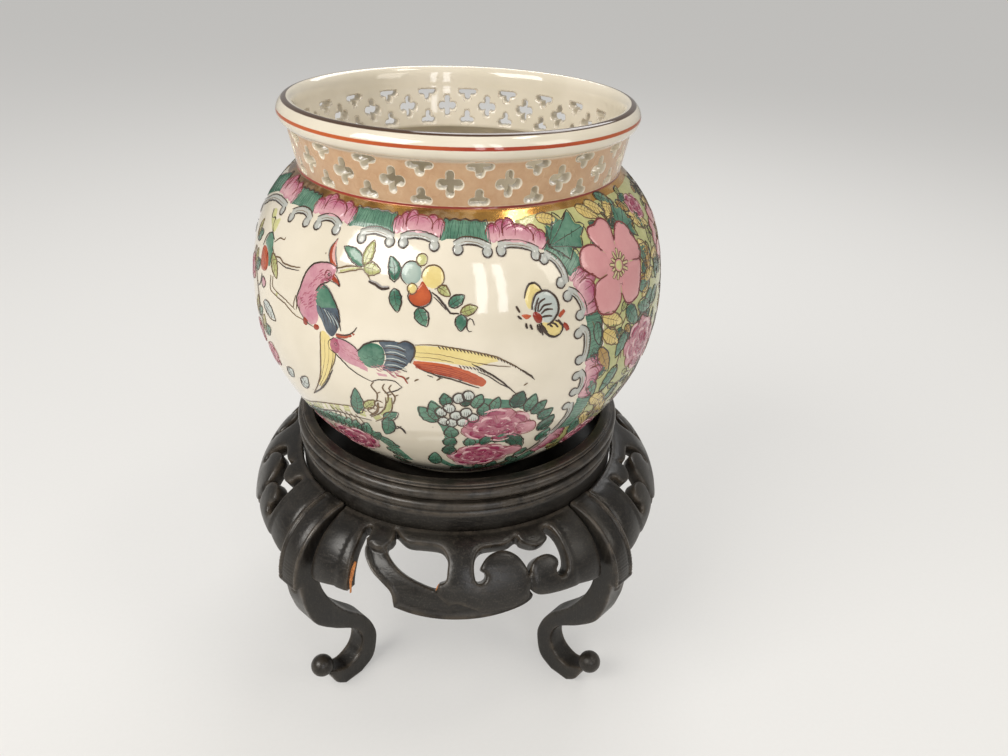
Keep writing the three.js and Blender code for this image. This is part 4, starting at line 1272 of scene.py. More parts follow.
def hatched(start, end, height):
    """A green lambrequin, hatched in a darker green, with a scalloped outer edge."""
    start, end, height, along, out = tucked_in(start, end, height)
    run = end - start
    size = np.hypot(*run)
    share = np.linspace(0, 1, 9)[:, None]
    low_edge = start + run * share + out * 0.35 * np.sin(np.pi * share)
    high_edge = start + run * (0.04 + 0.92 * share) + out * (height + 0.3 * np.sin(np.pi * share))
    scalloped = high_edge - out * 0.35 * (np.arange(9)[:, None] % 2)
    patch("green", np.vstack([low_edge, scalloped[::-1]]), 0.5, 0.75, steps=3)
    count = int(size / 0.62)
    for k in range(count):
        place = (k + 0.5) / count
        low_end = start + run * place + out * 0.4
        high_end = start + run * (0.06 + 0.88 * place) + out * (height - 0.25)
        lean = along * 0.3 * math.sin(k * 1.7)
        stroke("dark_green", [low_end, (low_end + high_end) / 2 + lean, high_end], 0.24)
    ink(np.vstack([low_edge[:1], scalloped, low_edge[-1:]]), 0.26, shade=0.5, tail=0.7)


def border_flower(start, end, height):
    """A pink peony from the side: one broad petal between smaller ones."""
    start, end, height, along, out = tucked_in(start, end, height)
    run = end - start
    size = np.hypot(*run)
    turn = math.degrees(math.atan2(along[1], along[0]))
    petals = (
        (0.09, 0.42, 0.12, 0.5), (0.91, 0.44, 0.12, 0.52), (0.24, 0.58, 0.14, 0.62), (0.77, 0.56, 0.14, 0.6),
        (0.36, 0.66, 0.12, 0.66), (0.52, 0.52, 0.27, 0.56),
    )
    for k, (place, rise, wide, tall) in enumerate(petals):
        middle = start + run * place + out * height * rise
        across, up = size * wide, height * tall * 0.86
        outline = oval(middle, across, up, turn, 12, scallop=0.05, lobes=4)
        top, bottom = middle + out * up, middle - out * up
        patch("pink", outline, fade(bottom, top, 0.0, 1.0), 0.7, reach=0.5, level=1 + k // 4, steps=3)
        ring("red_ink", middle, across, up, turn=turn, start=-20, end=200, width=0.34, level=2 + k // 4)
        ring("magenta", middle, across * 0.8, up * 0.76, turn=turn, start=20, end=160, width=0.4,
             level=2 + k // 4, shade=0.9)


SCROLLS = [
    [(-71, 16.6), (-66, 18.9), (-62, 20.9), (-58, 22), (-54, 22.3), (-50.8, 22.2)],
    [(-46, 22), (-44, 23), (-42, 23.4), (-40, 23.2), (-38.6, 22.4)],
    [(-35.8, 22.8), (-33.6, 23.8), (-31.4, 23.9), (-29, 23)],
    [(-22.6, 22.6), (-20.4, 23.3), (-18.4, 23.4), (-15.2, 22.8)],
    [(-12.8, 22.9), (-11, 23.5), (-8.6, 23.6), (-5.2, 22.8)],
    [(-0.8, 22.2), (1, 22.8), (3.4, 22.7), (6.3, 21.7)],
    [(8.8, 21.9), (11, 22), (14, 21.6), (16.9, 20.4)],
    [(18.8, 19.4), (20.8, 17.8), (22, 15.6), (22.3, 13.6)],
]
SIDE_SCROLLS = [
    [(23, 11.7), (24.6, 10.6), (25.8, 8.6), (26.3, 6.6)],
    [(25.4, 3.6), (26.8, 2.4), (27, -0.6), (26.4, -3.6)],
    [(26, -6.4), (27, -8), (27, -10), (26.2, -11.8)],
    [(25.4, -14.8), (25.8, -17.6), (25, -21), (23.2, -24.4)],
    [(22.4, -26), (20.6, -30), (17.4, -34)],
    [(16, -35.6), (11, -39.6), (5, -42.6)],
    [(3, -43.2), (-4, -44.6), (-11, -45.2)],
    [(-13, -45.2), (-18, -45.5), (-23.2, -45.5)],
]
LAMBREQUINS = [
    ((-71.6, 19.4), (-60.4, 24), 4.4), ((-48.6, 24.2), (-39.4, 24.5), 3.3),
    ((-26.2, 24.4), (-15.4, 24.3), 3.3), ((-3.8, 23.9), (6.2, 23.5), 3.3),
]
FLOWERS = [
    ((-60, 24), (-48.9, 24.2), 3.6), ((-38.8, 24.7), (-26.6, 24.6), 3.3), ((-15, 24.5), (-4.3, 24.4), 3.2),
    ((6.6, 23.6), (18.8, 21.2), 3.5),
]
SIDE_LAMBREQUINS = [
    ((19.4, 20.6), (24.4, 14.6), 4.4), ((27.6, 5.6), (28.1, -3.4), 3.2), ((27.8, -14), (25.6, -23), 4.2),
    ((20.4, -32.4), (14.6, -40), 3.8), ((1.4, -46.2), (-10, -47.6), 3),
]
SIDE_FLOWERS = [
    ((24.2, 14.4), (27.2, 6.4), 3.9), ((28, -4), (27.9, -13.4), 3.4), ((25, -23.6), (20.8, -31.8), 3.8),
    ((13.8, -40.6), (2.4, -45.8), 3.2), ((-11, -47.7), (-23.4, -48), 3),
]


def reserve_border():
    for points in SCROLLS + SIDE_SCROLLS + [mirrored(s) for s in SIDE_SCROLLS]:
        scroll(points)
    for start, end, height in LAMBREQUINS + SIDE_LAMBREQUINS:
        hatched(start, end, height)
    for start, end, height in FLOWERS + SIDE_FLOWERS:
        border_flower(start, end, height)
    for start, end, height in SIDE_LAMBREQUINS[1:]:
        hatched(*mirrored([start, end]), height)
    for start, end, height in SIDE_FLOWERS:
        border_flower(*mirrored([start, end]), height)


def heading(turn):
    return np.array([math.cos(turn), math.sin(turn)])


FLAT_PETALS = 5
STAMEN_LEVEL = 4


def flat_flower(middle, size, turn):
    """An open flower in flat pink, with a heart of stamens."""
    middle = np.array(middle, float)
    for k in range(FLAT_PETALS):
        way = heading(math.radians(turn) + 2 * math.pi * k / FLAT_PETALS)
        across = np.array([-way[1], way[0]])
        outline = [middle + way * size * a + across * size * b for a, b in (
            (0.1, 0.02), (0.42, 0.32), (0.74, 0.5), (0.98, 0.36), (1.02, 0.14), (0.93, 0.0), (1.03, -0.16),
            (0.98, -0.38), (0.72, -0.5), (0.4, -0.32), (0.1, -0.02),
        )]
        patch("flat_pink", outline, 0.45, 0.7, reach=0.5, level=STAMEN_LEVEL - 1, steps=3)
        stroke("red_ink", outline[1:6], 0.26, STAMEN_LEVEL)
        stroke("red_ink", outline[5:10], 0.26, STAMEN_LEVEL)
    stamens(middle, size)


def stamens(middle, size):
    """The pale bars and dark tips round the eye of a flat flower."""
    level = STAMEN_LEVEL
    patch("yellow_green", oval(middle, size * 0.14, size * 0.14, 0, 8), 0.05, level=level)
    ring("brown_ink", middle, size * 0.15, width=0.24, level=level + 1)
    for k in range(13):
        reach = size * brush.uniform(0.26, 0.37)
        way = heading(2 * math.pi * k / 13)
        across = np.array([-way[1], way[0]]) * size * 0.036
        bar = np.array([middle + way * size * 0.16, middle + way * reach])
        stroke("yellow_green", bar, size * 0.066, level, shade=0.05, tail=0.9)
        for side in (-across, across):
            brown(bar + side, 0.2, level + 1)
        patch("brown_ink", oval(bar[1], 0.3, 0.3, 0, 6), 0.8, level=level + 1, steps=2)


GREAT_FLOWER_PETALS = [
    [(36.6, 15.2), (33.6, 17.6), (31.8, 19.5), (31, 21.5), (32, 22.8), (34, 23), (36.5, 23.9), (38.3, 23.2),
     (39, 21.5), (38.4, 18.6), (37.8, 16)],
    [(38.4, 15.6), (38.6, 18.7), (40, 20.5), (42, 21.8), (44, 21.5), (45.5, 20), (46, 18), (47.3, 15),
     (46.5, 13), (43, 13.4), (39.6, 13.9)],
    [(39.6, 13.2), (46.2, 12.8), (46, 10.5), (44, 6), (42.5, 5.2), (40.5, 4.9), (38.5, 5.8), (37.6, 7.8),
     (37.8, 11.6)],
    [(37.2, 11.6), (37.3, 8), (36.8, 6.2), (34.5, 4.6), (32, 4.8), (30, 6), (29.1, 9.5), (29.6, 11.2),
     (31, 12.2), (33.4, 12.7), (35.6, 13)],
    [(35.4, 13.7), (31, 12.5), (28.2, 14.2), (26.8, 15.5), (26.8, 17.5), (28, 19), (30, 19.4), (32, 19),
     (33.6, 17.5), (36, 15.2)],
]


def great_flower():
    """The large flat pink flower to the right of the reserve."""
    patch("flat_pink", oval((37.4, 13.8), 4.2, 4.2, 0, 12), 0.45, level=3)
    for outline in GREAT_FLOWER_PETALS:
        patch("flat_pink", outline, 0.45, 0.68, reach=0.5, level=3, steps=3)
        stroke("red_ink", outline[1:-1], 0.34, 4, tail=0.5)
    stamens(np.array([37.5, 13.7]), 9.4)


def ground_leaves(rows, enamel, pen="ink", veins=3):
    for base, tip, width in rows:
        leaf(base, tip, width, enamel, veins=veins, pen=pen, shade=0.5, level=2)


def undergrowth():
    """Small dark leaves and stems between the larger leaves."""
    for k in range(170):
        base = np.array([brush.uniform(29, 77), brush.uniform(-40, 27)])
        way = heading(brush.uniform(0, 2 * math.pi))
        size = brush.uniform(2.6, 4.4)
        tip = base + way * size
        enamel = ("dark_green", "green", "yellow_green", "gilding")[k % 4]
        leaf(base, tip, size * 0.5, enamel, veins=2, shade=0.75)
        brown([base, base - (tip - base) * 0.4, base - (tip - base) * 0.7], 0.4)


def broad_leaf(base, tips, notches):
    """A broad lobed leaf, its veins drawn from the stalk to every tip."""
    outline = [base]
    for tip, notch in zip(tips, notches):
        outline += [tip, notch]
    patch("green", outline, fade(base, tips[len(tips) // 2], 0.85, 0.35), 0.8, reach=0.6, level=2)
    for first, second in zip(outline[1:], outline[2:]):
        middle = (np.array(first) + second) / 2
        ink([first, middle + (0.15, 0.15), second], 0.26, 3)
    for tip in tips:
        run = np.array(tip) - base
        ink([base, base + run * 0.5 + (0.3, 0.2), base + run * 0.9], 0.26, 3)
        for share in (0.4, 0.6):
            place = base + run * share
            stroke("dark_green", [place, place + (run[1] * 0.12, 0.8)], 0.4, 3, shade=0.7)
            stroke("dark_green", [place, place + (-run[1] * 0.1, -0.8)], 0.4, 3, shade=0.7)


def far_leaves():
    """Leaves at the back of the ground, between its flowers."""
    for k in range(36):
        base = np.array([brush.uniform(50, 75), brush.uniform(-38, 25)])
        way = heading(brush.uniform(0, 2 * math.pi))
        tip = base + way * brush.uniform(5, 7.5)
        enamel = ("green", "yellow", "green", "gilding")[k % 4]
        pen = "brown_ink" if enamel == "yellow" else "ink"
        leaf(base, tip, 3.2, enamel, pen=pen, shade=0.5, level=2)


def flower_ground():
    """The dense flowers and leaves between the two reserves."""
    ground = [
        (17.4, 22.6), (12.6, 26.6), (20, 28), (30, 28.2), (52, 28.1), (70, 27.6), (73.6, 22), (76, 14),
        (79, 6), (79.6, -4), (79, -14), (76.8, -24), (72.4, -34), (64, -42), (52, -46), (40, -44), (30, -38),
        (24.6, -30), (29.4, -20), (31, -8), (31.2, 4), (28, 13), (25, 18),
    ]
    patch("yellow_green", ground, fade((24, 20), (56, -20), 0.3, 0.75), 0.3, level=0)
    undergrowth()
    far_leaves()
    broad_leaf(
        (19.8, 20.6), [(20.4, 25.2), (23.6, 27.4), (28.2, 27.4), (31.2, 23.6), (28.4, 19.2), (24.4, 17.4)],
        [(22, 24.6), (25.4, 25.6), (29, 24.4), (29, 21.4), (25.8, 19.4), (22.4, 18.6)],
    )
    broad_leaf((43, 19.6), [(41, 24), (44.4, 27.4), (48.4, 25), (50.4, 20.6), (48.8, 17)],
               [(42.6, 23.4), (45.8, 24.4), (48, 22.2), (48, 19.4), (45.4, 18.4)])
    yellow = (
        ((31, 27.6), (37, 24.2), 2.8), ((34.6, 28), (40.2, 24.6), 2.8), ((44.4, 28), (39.4, 23), 2.8),
        ((31, 4.6), (37.6, 1.6), 3), ((31.4, 1.4), (37, -2.8), 3.2), ((48.6, 22), (57.6, 17), 3.4),
        ((18.6, 26.8), (24.6, 25.6), 2.4), ((47, 7.6), (53, 9), 2.8), ((45.6, 4.6), (50.4, 6.6), 2.4),
        ((31, -14.6), (38, -19.6), 3.4), ((34.4, -17), (41, -25), 3.8), ((31, -20), (36, -27), 3.2),
    )
    green = (
        ((46.4, 14.6), (53.4, 11.4), 3.6), ((29.4, 4), (30.4, -1.4), 2.2), ((39, 4.6), (43.8, -0.8), 3.4),
        ((43.6, 3.4), (50.6, 0.8), 3), ((39.2, -0.8), (36.2, -6.4), 3.2), ((37.6, -8.6), (33.4, -14.4), 3.4),
        ((29.4, -21), (35, -33), 4), ((41, -15), (37, -20.4), 3), ((44, -33), (37, -38.6), 3.6),
        ((28.8, -9), (31.6, -14.6), 2.6), ((40, 29), (46, 25.6), 2.6),
    )
    olive = (
        ((30.4, -2), (34.4, -9), 3), ((46.6, 25.6), (50.6, 22.6), 2.4), ((38.6, 0.4), (40.8, -2), 2),
        ((43.6, -20), (48, -24.6), 2.6),
    )
    ground_leaves(yellow, "yellow", "brown_ink", 4)
    ground_leaves(green, "green")
    ground_leaves(olive, "gilding", "ink", 2)
    for start, end in (((38.3, 25.6), (38.8, 22.4)), ((42.6, 25.4), (40, 22)), ((35, 25), (36.4, 24))):
        brown([start, ((start[0] + end[0]) / 2 + 0.2, (start[1] + end[1]) / 2), end], 0.34, 3)
    peony((47.2, -7), 8.6, 6.2, turn=-35, lobes=9, level=2)
    peony((37, -31), 6.6, 5.6, turn=-20, level=2)
    peony((66.4, -8), 5.6, 5, turn=10, level=2)
    peony((55, 22.6), 4.4, 3.2, turn=-10, lobes=7, level=2)
    flat_flower((64, 13.6), 6.2, 20)
    flat_flower((56.6, -25), 6.6, 50)
    flat_flower((48, -39), 5, 10)
    great_flower()


flower_ground()
reserve_border()
left_twigs()
lower_branches()
right_bouquet()
fruiting_branch()
butterfly()
upper_bird()
lower_bird()
finish_painting()


# The carved stand


EBONY = (0.0070, 0.0058, 0.0047, 1)
# Light brown of worn edges, made light enough to act as painted highlight along edges and raised lines
EBONY_WORN_AND_SHEEN = (0.095, 0.076, 0.057, 1)
EBONY_DUST = (0.036, 0.031, 0.024, 1)
RAW_WOOD = (0.52, 0.20, 0.055, 1)
RAW_WOOD_DARK = (0.30, 0.09, 0.02, 1)


def wood_group():
    """Black-stained wood: open grain, dust, and a lighter brown edge that is partly wear and partly painted
    highlight.
    """
    tree, kit, given, out = shader_group(
        "Ebonised Wood",
        {"Stain Colour": EBONY, "Worn And Sheen Colour": EBONY_WORN_AND_SHEEN, "Dust Colour": EBONY_DUST, "Edge": 0.0,
         "Grain Direction": (1.0, 1.0, 0.2)},
        {"Colour": 4, "Roughness": 1, "Height": 1},
    )
    stretched = kit.add("ShaderNodeVectorMath", operation="MULTIPLY")
    kit.feed(stretched, kit.place(), given["Grain Direction"])
    pores = kit.ramp(kit.noise(1500, 4, 0.6, place=stretched.outputs[0]), 0.52, 0.64)
    cloud = kit.ramp(kit.noise(70, 4, 0.6), 0.42, 0.68)
    rubbed = kit.ramp(kit.noise(260, 3, 0.6), 0.38, 0.62, 0.25, 1)
    colour = kit.mix(kit.times(pores, 0.08), given["Stain Colour"], given["Worn And Sheen Colour"])
    speckle = kit.ramp(kit.noise(2600, 2, 0.6), 0.5, 0.68)
    dusty = kit.plus(kit.times(cloud, 0.3), kit.times(speckle, 0.6))
    colour = kit.mix(dusty, colour, given["Dust Colour"])
    # The edge mask, broken up by noise, mixes in the worn colour: partly real wear, partly painted highlight
    worn = kit.times(kit.times(given["Edge"], rubbed), 0.75)
    shine = kit.minus(kit.ramp(cloud, 0, 1, 0.3, 0.46), kit.times(worn, 0.1))
    tool_marks = kit.times(kit.noise(210, 2), 0.5)
    kit.feed(
        out, Colour=kit.mix(worn, colour, given["Worn And Sheen Colour"]),
        Roughness=kit.plus(shine, kit.times(pores, 0.06)),
        Height=kit.minus(tool_marks, kit.times(pores, 0.14)),
    )
    return tree


EBONISED_WOOD = wood_group()


def ebonised_wood(name, grain):
    material, kit, shader = material_with_shader(name, Specular_IOR_Level=0.42)
    wood = kit.group(EBONISED_WOOD, Edge=kit.attribute("edge"), Grain_Direction=grain)
    kit.feed(
        shader, Base_Color=wood["Colour"], Roughness=wood["Roughness"],
        Normal=kit.bump(wood["Height"], 0.35, 0.00025),
    )
    return material


def raw_wood_material():
    """Bare wood where the carving broke away."""
    material, kit, shader = material_with_shader("raw_wood_break", Roughness=0.7)
    fibre = kit.noise(1400, 4, 0.7)
    kit.feed(
        shader, Base_Color=kit.mix(kit.ramp(fibre, 0.4, 0.62), RAW_WOOD, RAW_WOOD_DARK),
        Normal=kit.bump(fibre, 0.6, 0.0003),
    )
    return material


UPRIGHT_GRAIN = ebonised_wood("ebonised_wood_upright", (1.0, 1.0, 0.16))
LEVEL_GRAIN = ebonised_wood("ebonised_wood_level", (0.25, 0.25, 1.0))
RAW_BREAK = raw_wood_material()
WOOD_EDGE = 0.55
EDGE_INSETS = (0.1, 0.27, WOOD_EDGE)

STAND_TOP = high("stand_rim_ring")
RIM_BOTTOM = low("stand_rim_ring")
WAIST_TOP = high("stand_waist_ring")
WAIST_BOTTOM = low("stand_waist_ring")
RECESS_R = 37.6
WAIST_R = 40.9
RING_COLUMNS = 224
BOARD_PLAY = 0.3


def edge_of_profile(line):
    """How sharply each point of a closed profile turns, from 0 to 1."""
    before = line - np.roll(line, 1, axis=0)
    after = np.roll(line, -1, axis=0) - line
    turn = before[:, 0] * after[:, 1] - before[:, 1] * after[:, 0]
    size = np.maximum(np.hypot(*before.T) * np.hypot(*after.T), 1e-9)
    return np.clip(turn / size * 2.2, 0, 1)


def carved_piece(parcel, name, node, grain=None, turn=0.0):
    """A finished piece of the stand, in place of its solid."""
    material = LEVEL_GRAIN if grain is None else grain
    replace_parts(welded(parcel.piece(name, "stand", "ebonised_wood", material, turn)), node)


def turned_ring(name, node, profile):
    """A ring of the stand, turned from a closed profile of (radius, height)."""
    line = np.array(profile)
    # Edge value: worn colour on convex edges, partly wear and partly painted highlight
    edge = edge_of_profile(line)
    ring_points, faces = lathed(np.vstack([line, line[:1]]), RING_COLUMNS)
    parcel = Parcel("edge")
    parcel.add(ring_points, faces, edge=np.repeat(np.append(edge, edge[0]), RING_COLUMNS))
    carved_piece(parcel, name, node)


def arc(middle, across, up, first, last, steps):
    angles = np.radians(np.linspace(first, last, steps))
    return [(middle[0] + across * math.cos(a), middle[1] + up * math.sin(a)) for a in angles]


def rim_profile():
    """Ledge, two fine lines, step, and the torus over the undercut foot."""
    lower = [(0, 0), (1.85, 0), (2.05, 0.15), (2.1, 0.4), *arc((2.7, 1.8), 1.3, 1.32, -84, 86, 13)]
    upper = [
        (2.5, -1.16), (2.5, -1.04), (2.62, -1), (2.86, -0.96), *arc((2.72, -0.74), 0.22, 0.22, -60, 90, 5),
        (2.38, -0.5), (2.38, -0.4), (2.5, -0.36), *arc((2.3, -0.2), 0.24, 0.2, -30, 90, 5), (1.2, -0.06),
        (0.5, -0.02), *arc((0.34, -0.34), 0.34, 0.32, 95, 180, 5),
    ]
    return np.vstack([np.add(lower, (RECESS_R, RIM_BOTTOM)), np.add(upper, (RECESS_R, STAND_TOP))])


def waist_profile():
    """Drum with its bead, and the groove that holds the floor board."""
    top = WAIST_TOP
    foot = WAIST_BOTTOM
    board_low = low("stand_floor_board") - BOARD_PLAY
    board_high = high("stand_floor_board") + BOARD_PLAY
    board_r = RECESS_R + 1.6
    drum = [(WAIST_R, z) for z in np.linspace(foot + 0.2, top - 2.85, 8)]
    return [
        (RECESS_R - 1, foot), (WAIST_R - 0.15, foot), *drum, (WAIST_R - 0.25, top - 2.72),
        (WAIST_R - 0.25, top - 2.6), *arc((WAIST_R - 0.5, top - 1.32), 1.08, 1.2, -80, 80, 11),
        (WAIST_R - 0.7, top), (RECESS_R, top), (RECESS_R, board_high), (board_r, board_high),
        (board_r, board_low), (RECESS_R - 1, board_low),
    ]


# Carved pieces: a flat drawing with holes, given thickness and rounded edges


def closed_outline(runs, spacing=0.55):
    """A closed outline made of smooth runs that meet at corners."""
    return np.vstack([evenly(smooth_line(run, 6), spacing)[:-1] for run in runs])


def anticlockwise(outline, wanted=True):
    area = np.sum(outline[:, 0] * np.roll(outline[:, 1], -1) - np.roll(outline[:, 0], -1) * outline[:, 1])
    return outline if (area > 0) == wanted else outline[::-1]


def carved_sheet(outlines, spacing=0.8, carved_lines=()):
    """Triangles over a drawing, closer along its edges and carved lines, with distances to the edge."""
    inner = []
    for outline in outlines:
        for inset in EDGE_INSETS:
            moved = outline + left_of_outline(outline) * inset
            inner.append(moved[nearest_edge(moved, outlines) > inset * 0.93])
    grid = honeycomb(outlines[0], spacing)
    grid = grid[inside_outline(grid, outlines[0])]
    grid = grid[nearest_edge(grid, outlines) > WOOD_EDGE + spacing * 0.4]
    for line in carved_lines:
        grid = grid[nearest_edge(grid, [line]) > 0.42]
        inner.append(line[nearest_edge(line, outlines) > WOOD_EDGE + 0.2])
    inner = np.vstack([*inner, grid])
    places, faces = triangulated(outlines, inner[inside_but_not(inner, *outlines)])
    return places, solid_faces(places, faces, outlines), nearest_edge(places, outlines)


def nearest_edge(places, outlines):
    """How far each place lies from the nearest outline, in small batches."""
    if not len(places):
        return np.zeros(0)
    parts = []
    for batch in np.array_split(places, max(1, len(places) // 400)):
        parts.append(np.min([distance_to(batch, outline) for outline in outlines], axis=0))
    return np.concatenate(parts)


def rounded(away):
    """How far the face falls back near an edge, on a quarter circle."""
    left = np.clip(WOOD_EDGE - away, 0, WOOD_EDGE)
    return WOOD_EDGE - np.sqrt(np.maximum(WOOD_EDGE**2 - left**2, 0))


APRON_TOP = high("apron_panel_front")
APRON_BULGE = 13.5
APRON_DROP = 15.1
APRON_THICKNESS = 4.0
APRON_FACE_R = (APRON_BULGE + APRON_DROP) / 2
CARVING_R = 50.0
PANEL_HALF = 34.55
LEG_TOP_R = WAIST_R + 0.3


def on_apron(places, deep):
    """Places on the apron, as (across, minus down), at a depth below its face."""
    t = -places[:, 1] / APRON_FACE_R
    out = APRON_DROP * np.sin(t)
    up = APRON_BULGE * np.cos(t)
    size = np.hypot(out, up)
    radius = LEG_TOP_R + APRON_BULGE * np.sin(t) - deep * out / size
    z = APRON_TOP - APRON_DROP * (1 - np.cos(t)) - deep * up / size
    turn = places[:, 0] / CARVING_R
    return np.column_stack([radius * np.sin(turn), -radius * np.cos(turn), z])


def drawn(points, side=1):
    """Carver's points, as (across, down), for the right or the left of a panel."""
    return [(side * x, -y) for x, y in points]


# Right half of the panel's lower edge, from the side to the middle
SIDE_FOOT = [
    (PANEL_HALF, 18.6), (34.1, 20.4), (32.6, 20.8), (28, 19.8), (22.5, 19.3), (17.8, 18.5), (15.7, 16.8),
]
CENTRE_LIP = [(15.7, 16.8), (16.6, 19.4), (14.2, 20.8), (9.6, 22), (4.8, 22.7), (0, 22.9)]
SCROLL_OPENING = [
    (4.7, 13.6), (3.9, 12.6), (3.7, 9.6), (4.5, 6.7), (6, 5.1), (8.6, 4.8), (12.6, 4.7), (15.3, 3.2),
    (15.9, 4.7), (16.9, 5.8), (18.4, 6.8), (20, 7.2), (21.8, 6.8), (23, 5.8), (22.7, 4.2), (23.1, 3.1),
    (24.2, 2.8), (25.1, 3.5), (25.6, 6), (25.8, 9), (25.7, 12.4), (25.1, 15), (23.9, 15.9), (22.8, 15.1),
    (22.6, 13.8), (23.3, 12.8), (23.4, 11.5), (22.3, 10.1), (20.6, 9.5), (18.6, 9.8), (17, 11), (16, 13.3),
    (15.7, 11.4), (14.4, 8.6), (12.6, 6.9), (10.4, 6.2), (7.9, 6.8), (6.1, 8.3), (5.2, 10.3),
    (6.2, 11.4), (6, 12.9),
]
BROKEN_OPENING = [
    (-2.3, 10.6), (-2.3, 8), (-3.3, 5.6), (-5, 4.4), (-8.4, 4.2), (-13, 4.2), (-17, 1.2), (-16.6, 3.2),
    (-16.9, 5.2), (-17.6, 7), (-15.2, 10), (-12.4, 12.2), (-8.6, 14.1), (-4.7, 15.4), (-4.1, 13.7),
    (-2.6, 12.8),
]
BROKEN_STRAP = [
    (-14.2, 20.8), (-14.4, 19), (-15, 17.2), (-16.4, 16), (-19.5, 13.8), (-21.2, 12), (-22.7, 9.9),
    (-23.4, 8), (-23.4, 6.4), (-22.8, 5), (-23.2, 2.8), (-24.2, 2.5), (-25.1, 3.6), (-24.9, 5.6),
    (-24.7, 10), (-24.4, 14.4), (-24.2, 19.5),
]
BROKEN_FOOT = [(-24.2, 19.5), (-28, 19.8), (-32.6, 20.8), (-34.1, 20.4), (-PANEL_HALF, 18.6)]
# The upper edge of the lip and the strap, which lie a step behind the panel's face
LIP_STEP = [
    (15.9, 16.6), (15, 18.2), (12, 19.6), (8, 20.1), (4.7, 19.7), (2.6, 18.6), (1.4, 18.1), (0, 17.5),
]
STRAP_STEP = [
    (-1.8, 17.9), (-3.2, 16.7), (-4.7, 15.4), (-9, 12), (-13, 9), (-17.2, 5.9), (-17.9, 6.8), (-19.4, 7.6),
    (-21.4, 7.4), (-22.9, 6.4), (-23.8, 5.4), (-24.1, 9), (-24, 24),
]
STEP_DEPTH = 1.8
STEP_WIDTH = 0.3
RIM_RISE = 1.35
RIM_MIDDLE = 0.95
RIM_HALF = 0.42
LOBE_LINE = [(16, 13), (16.2, 14.8), (15.9, 17.2)]
CUT_DEPTH = 0.7
CUT_WIDTH = 0.38
PILLOW = 0.3
PILLOW_REACH = 0.9


def both_sides(points):
    """A run on the right half of a panel and the same on the left."""
    return [drawn(points[::-1]), drawn(points, -1)]


def panel_outlines(broken):
    side = [(PANEL_HALF, down) for down in (0.0, 9.0, 18.6)]
    right_side, left_side = both_sides(side)
    (right_foot, left_foot), (right_lip, left_lip) = both_sides(SIDE_FOOT), both_sides(CENTRE_LIP)
    top = drawn([(x, 0.0) for x in np.linspace(-PANEL_HALF, PANEL_HALF, 9)[::-1]])
    left = [left_foot, left_lip]
    holes = [drawn(SCROLL_OPENING), drawn(SCROLL_OPENING, -1)]
    if broken:
        left = [drawn(BROKEN_FOOT[::-1]), drawn(BROKEN_STRAP[::-1]), drawn(CENTRE_LIP[2:], -1)]
        holes = [drawn(SCROLL_OPENING), drawn(BROKEN_OPENING)]
    outer = anticlockwise(closed_outline([top, left_side, *left, right_lip, right_foot, right_side]))
    rings = [evenly_closed(smooth_line(hole, 6, closed=True), 0.5) for hole in holes]
    return [outer, *(anticlockwise(hole, False) for hole in rings)]


SIDE_BAND = (26.8, 27.4)
TOP_FILLET = (0.75, 1.1)


def lip_band(broken):
    """The outline of what lies a step behind the panel's face."""
    right = [(16.9, 24.0), (16.9, 19.0), *LIP_STEP]
    left = STRAP_STEP if broken else [(-x, down) for x, down in right[::-1][1:]]
    return anticlockwise(evenly_closed(np.array(drawn(right + left)), 0.45))


def lip_edge(broken):
    """The lower edge of the lip and the broken strap, which the rim follows."""
    left = BROKEN_STRAP[:9] if broken else []
    line = drawn(CENTRE_LIP[1:]) + drawn(CENTRE_LIP[4:1:-1], -1) + drawn(left)
    return evenly(smooth_line(line, 5), 0.5)


def cut_lines(broken):
    cuts = [drawn(LOBE_LINE)] if broken else [drawn(LOBE_LINE), drawn(LOBE_LINE, -1)]
    return [evenly(smooth_line(cut, 5), 0.45) for cut in cuts]


def from_line(places, line):
    """How far each place lies from an open line."""
    gaps = [np.hypot(*(places - point).T) for point in evenly(line, 0.15)]
    return np.min(gaps, axis=0)


def panel_lines(broken):
    """The carving's lines: step, rim, cuts, top fillet and side bands."""
    band = lip_band(broken)
    rim = lip_edge(broken)
    across = np.linspace(-PANEL_HALF + 1, PANEL_HALF - 1, 90)
    down = np.linspace(1.5, 17.5, 24)
    lines = [band, band + left_of_outline(band) * STEP_WIDTH]
    lines += [rim + right_of(rim) * (RIM_MIDDLE + shift * RIM_HALF) for shift in (-1.2, 0, 1.2)]
    for line in cut_lines(broken):
        lines += [line, line + (CUT_WIDTH, 0), line - (CUT_WIDTH, 0)]
    lines += [np.column_stack([across, np.full(90, -at)]) for at in TOP_FILLET]
    lines += [np.column_stack([np.full(24, side * at), -down]) for at in SIDE_BAND for side in (-1, 1)]
    return lines


def rim_swell(places, broken):
    """How much each place stands up with the rim along the lip."""
    return swell(from_line(places, lip_edge(broken)) - RIM_MIDDLE, RIM_HALF)


def panel_relief(places, broken):
    """How deep the carving lies below the panel's plain face."""
    band = lip_band(broken)
    step = inside_outline(places, band) * smoothstep(nearest_edge(places, [band]) / STEP_WIDTH)
    sunk = STEP_DEPTH * step
    sunk = sunk - RIM_RISE * rim_swell(places, broken) * step
    for line in cut_lines(broken):
        sunk = sunk + CUT_DEPTH * swell(from_line(places, line), CUT_WIDTH)
    down = -places[:, 1]
    fillet = -0.3 * smoothstep((TOP_FILLET[1] - down) / (TOP_FILLET[1] - TOP_FILLET[0]))
    beyond = np.abs(places[:, 0]) - SIDE_BAND[0]
    side_band = 0.35 * smoothstep(beyond / (SIDE_BAND[1] - SIDE_BAND[0])) * smoothstep((down - 1.5) / 3)
    crest = 0.66 * np.sin(np.pi * np.clip(beyond / 8, 0, 1))
    return sunk + fillet + side_band * (1 - crest)


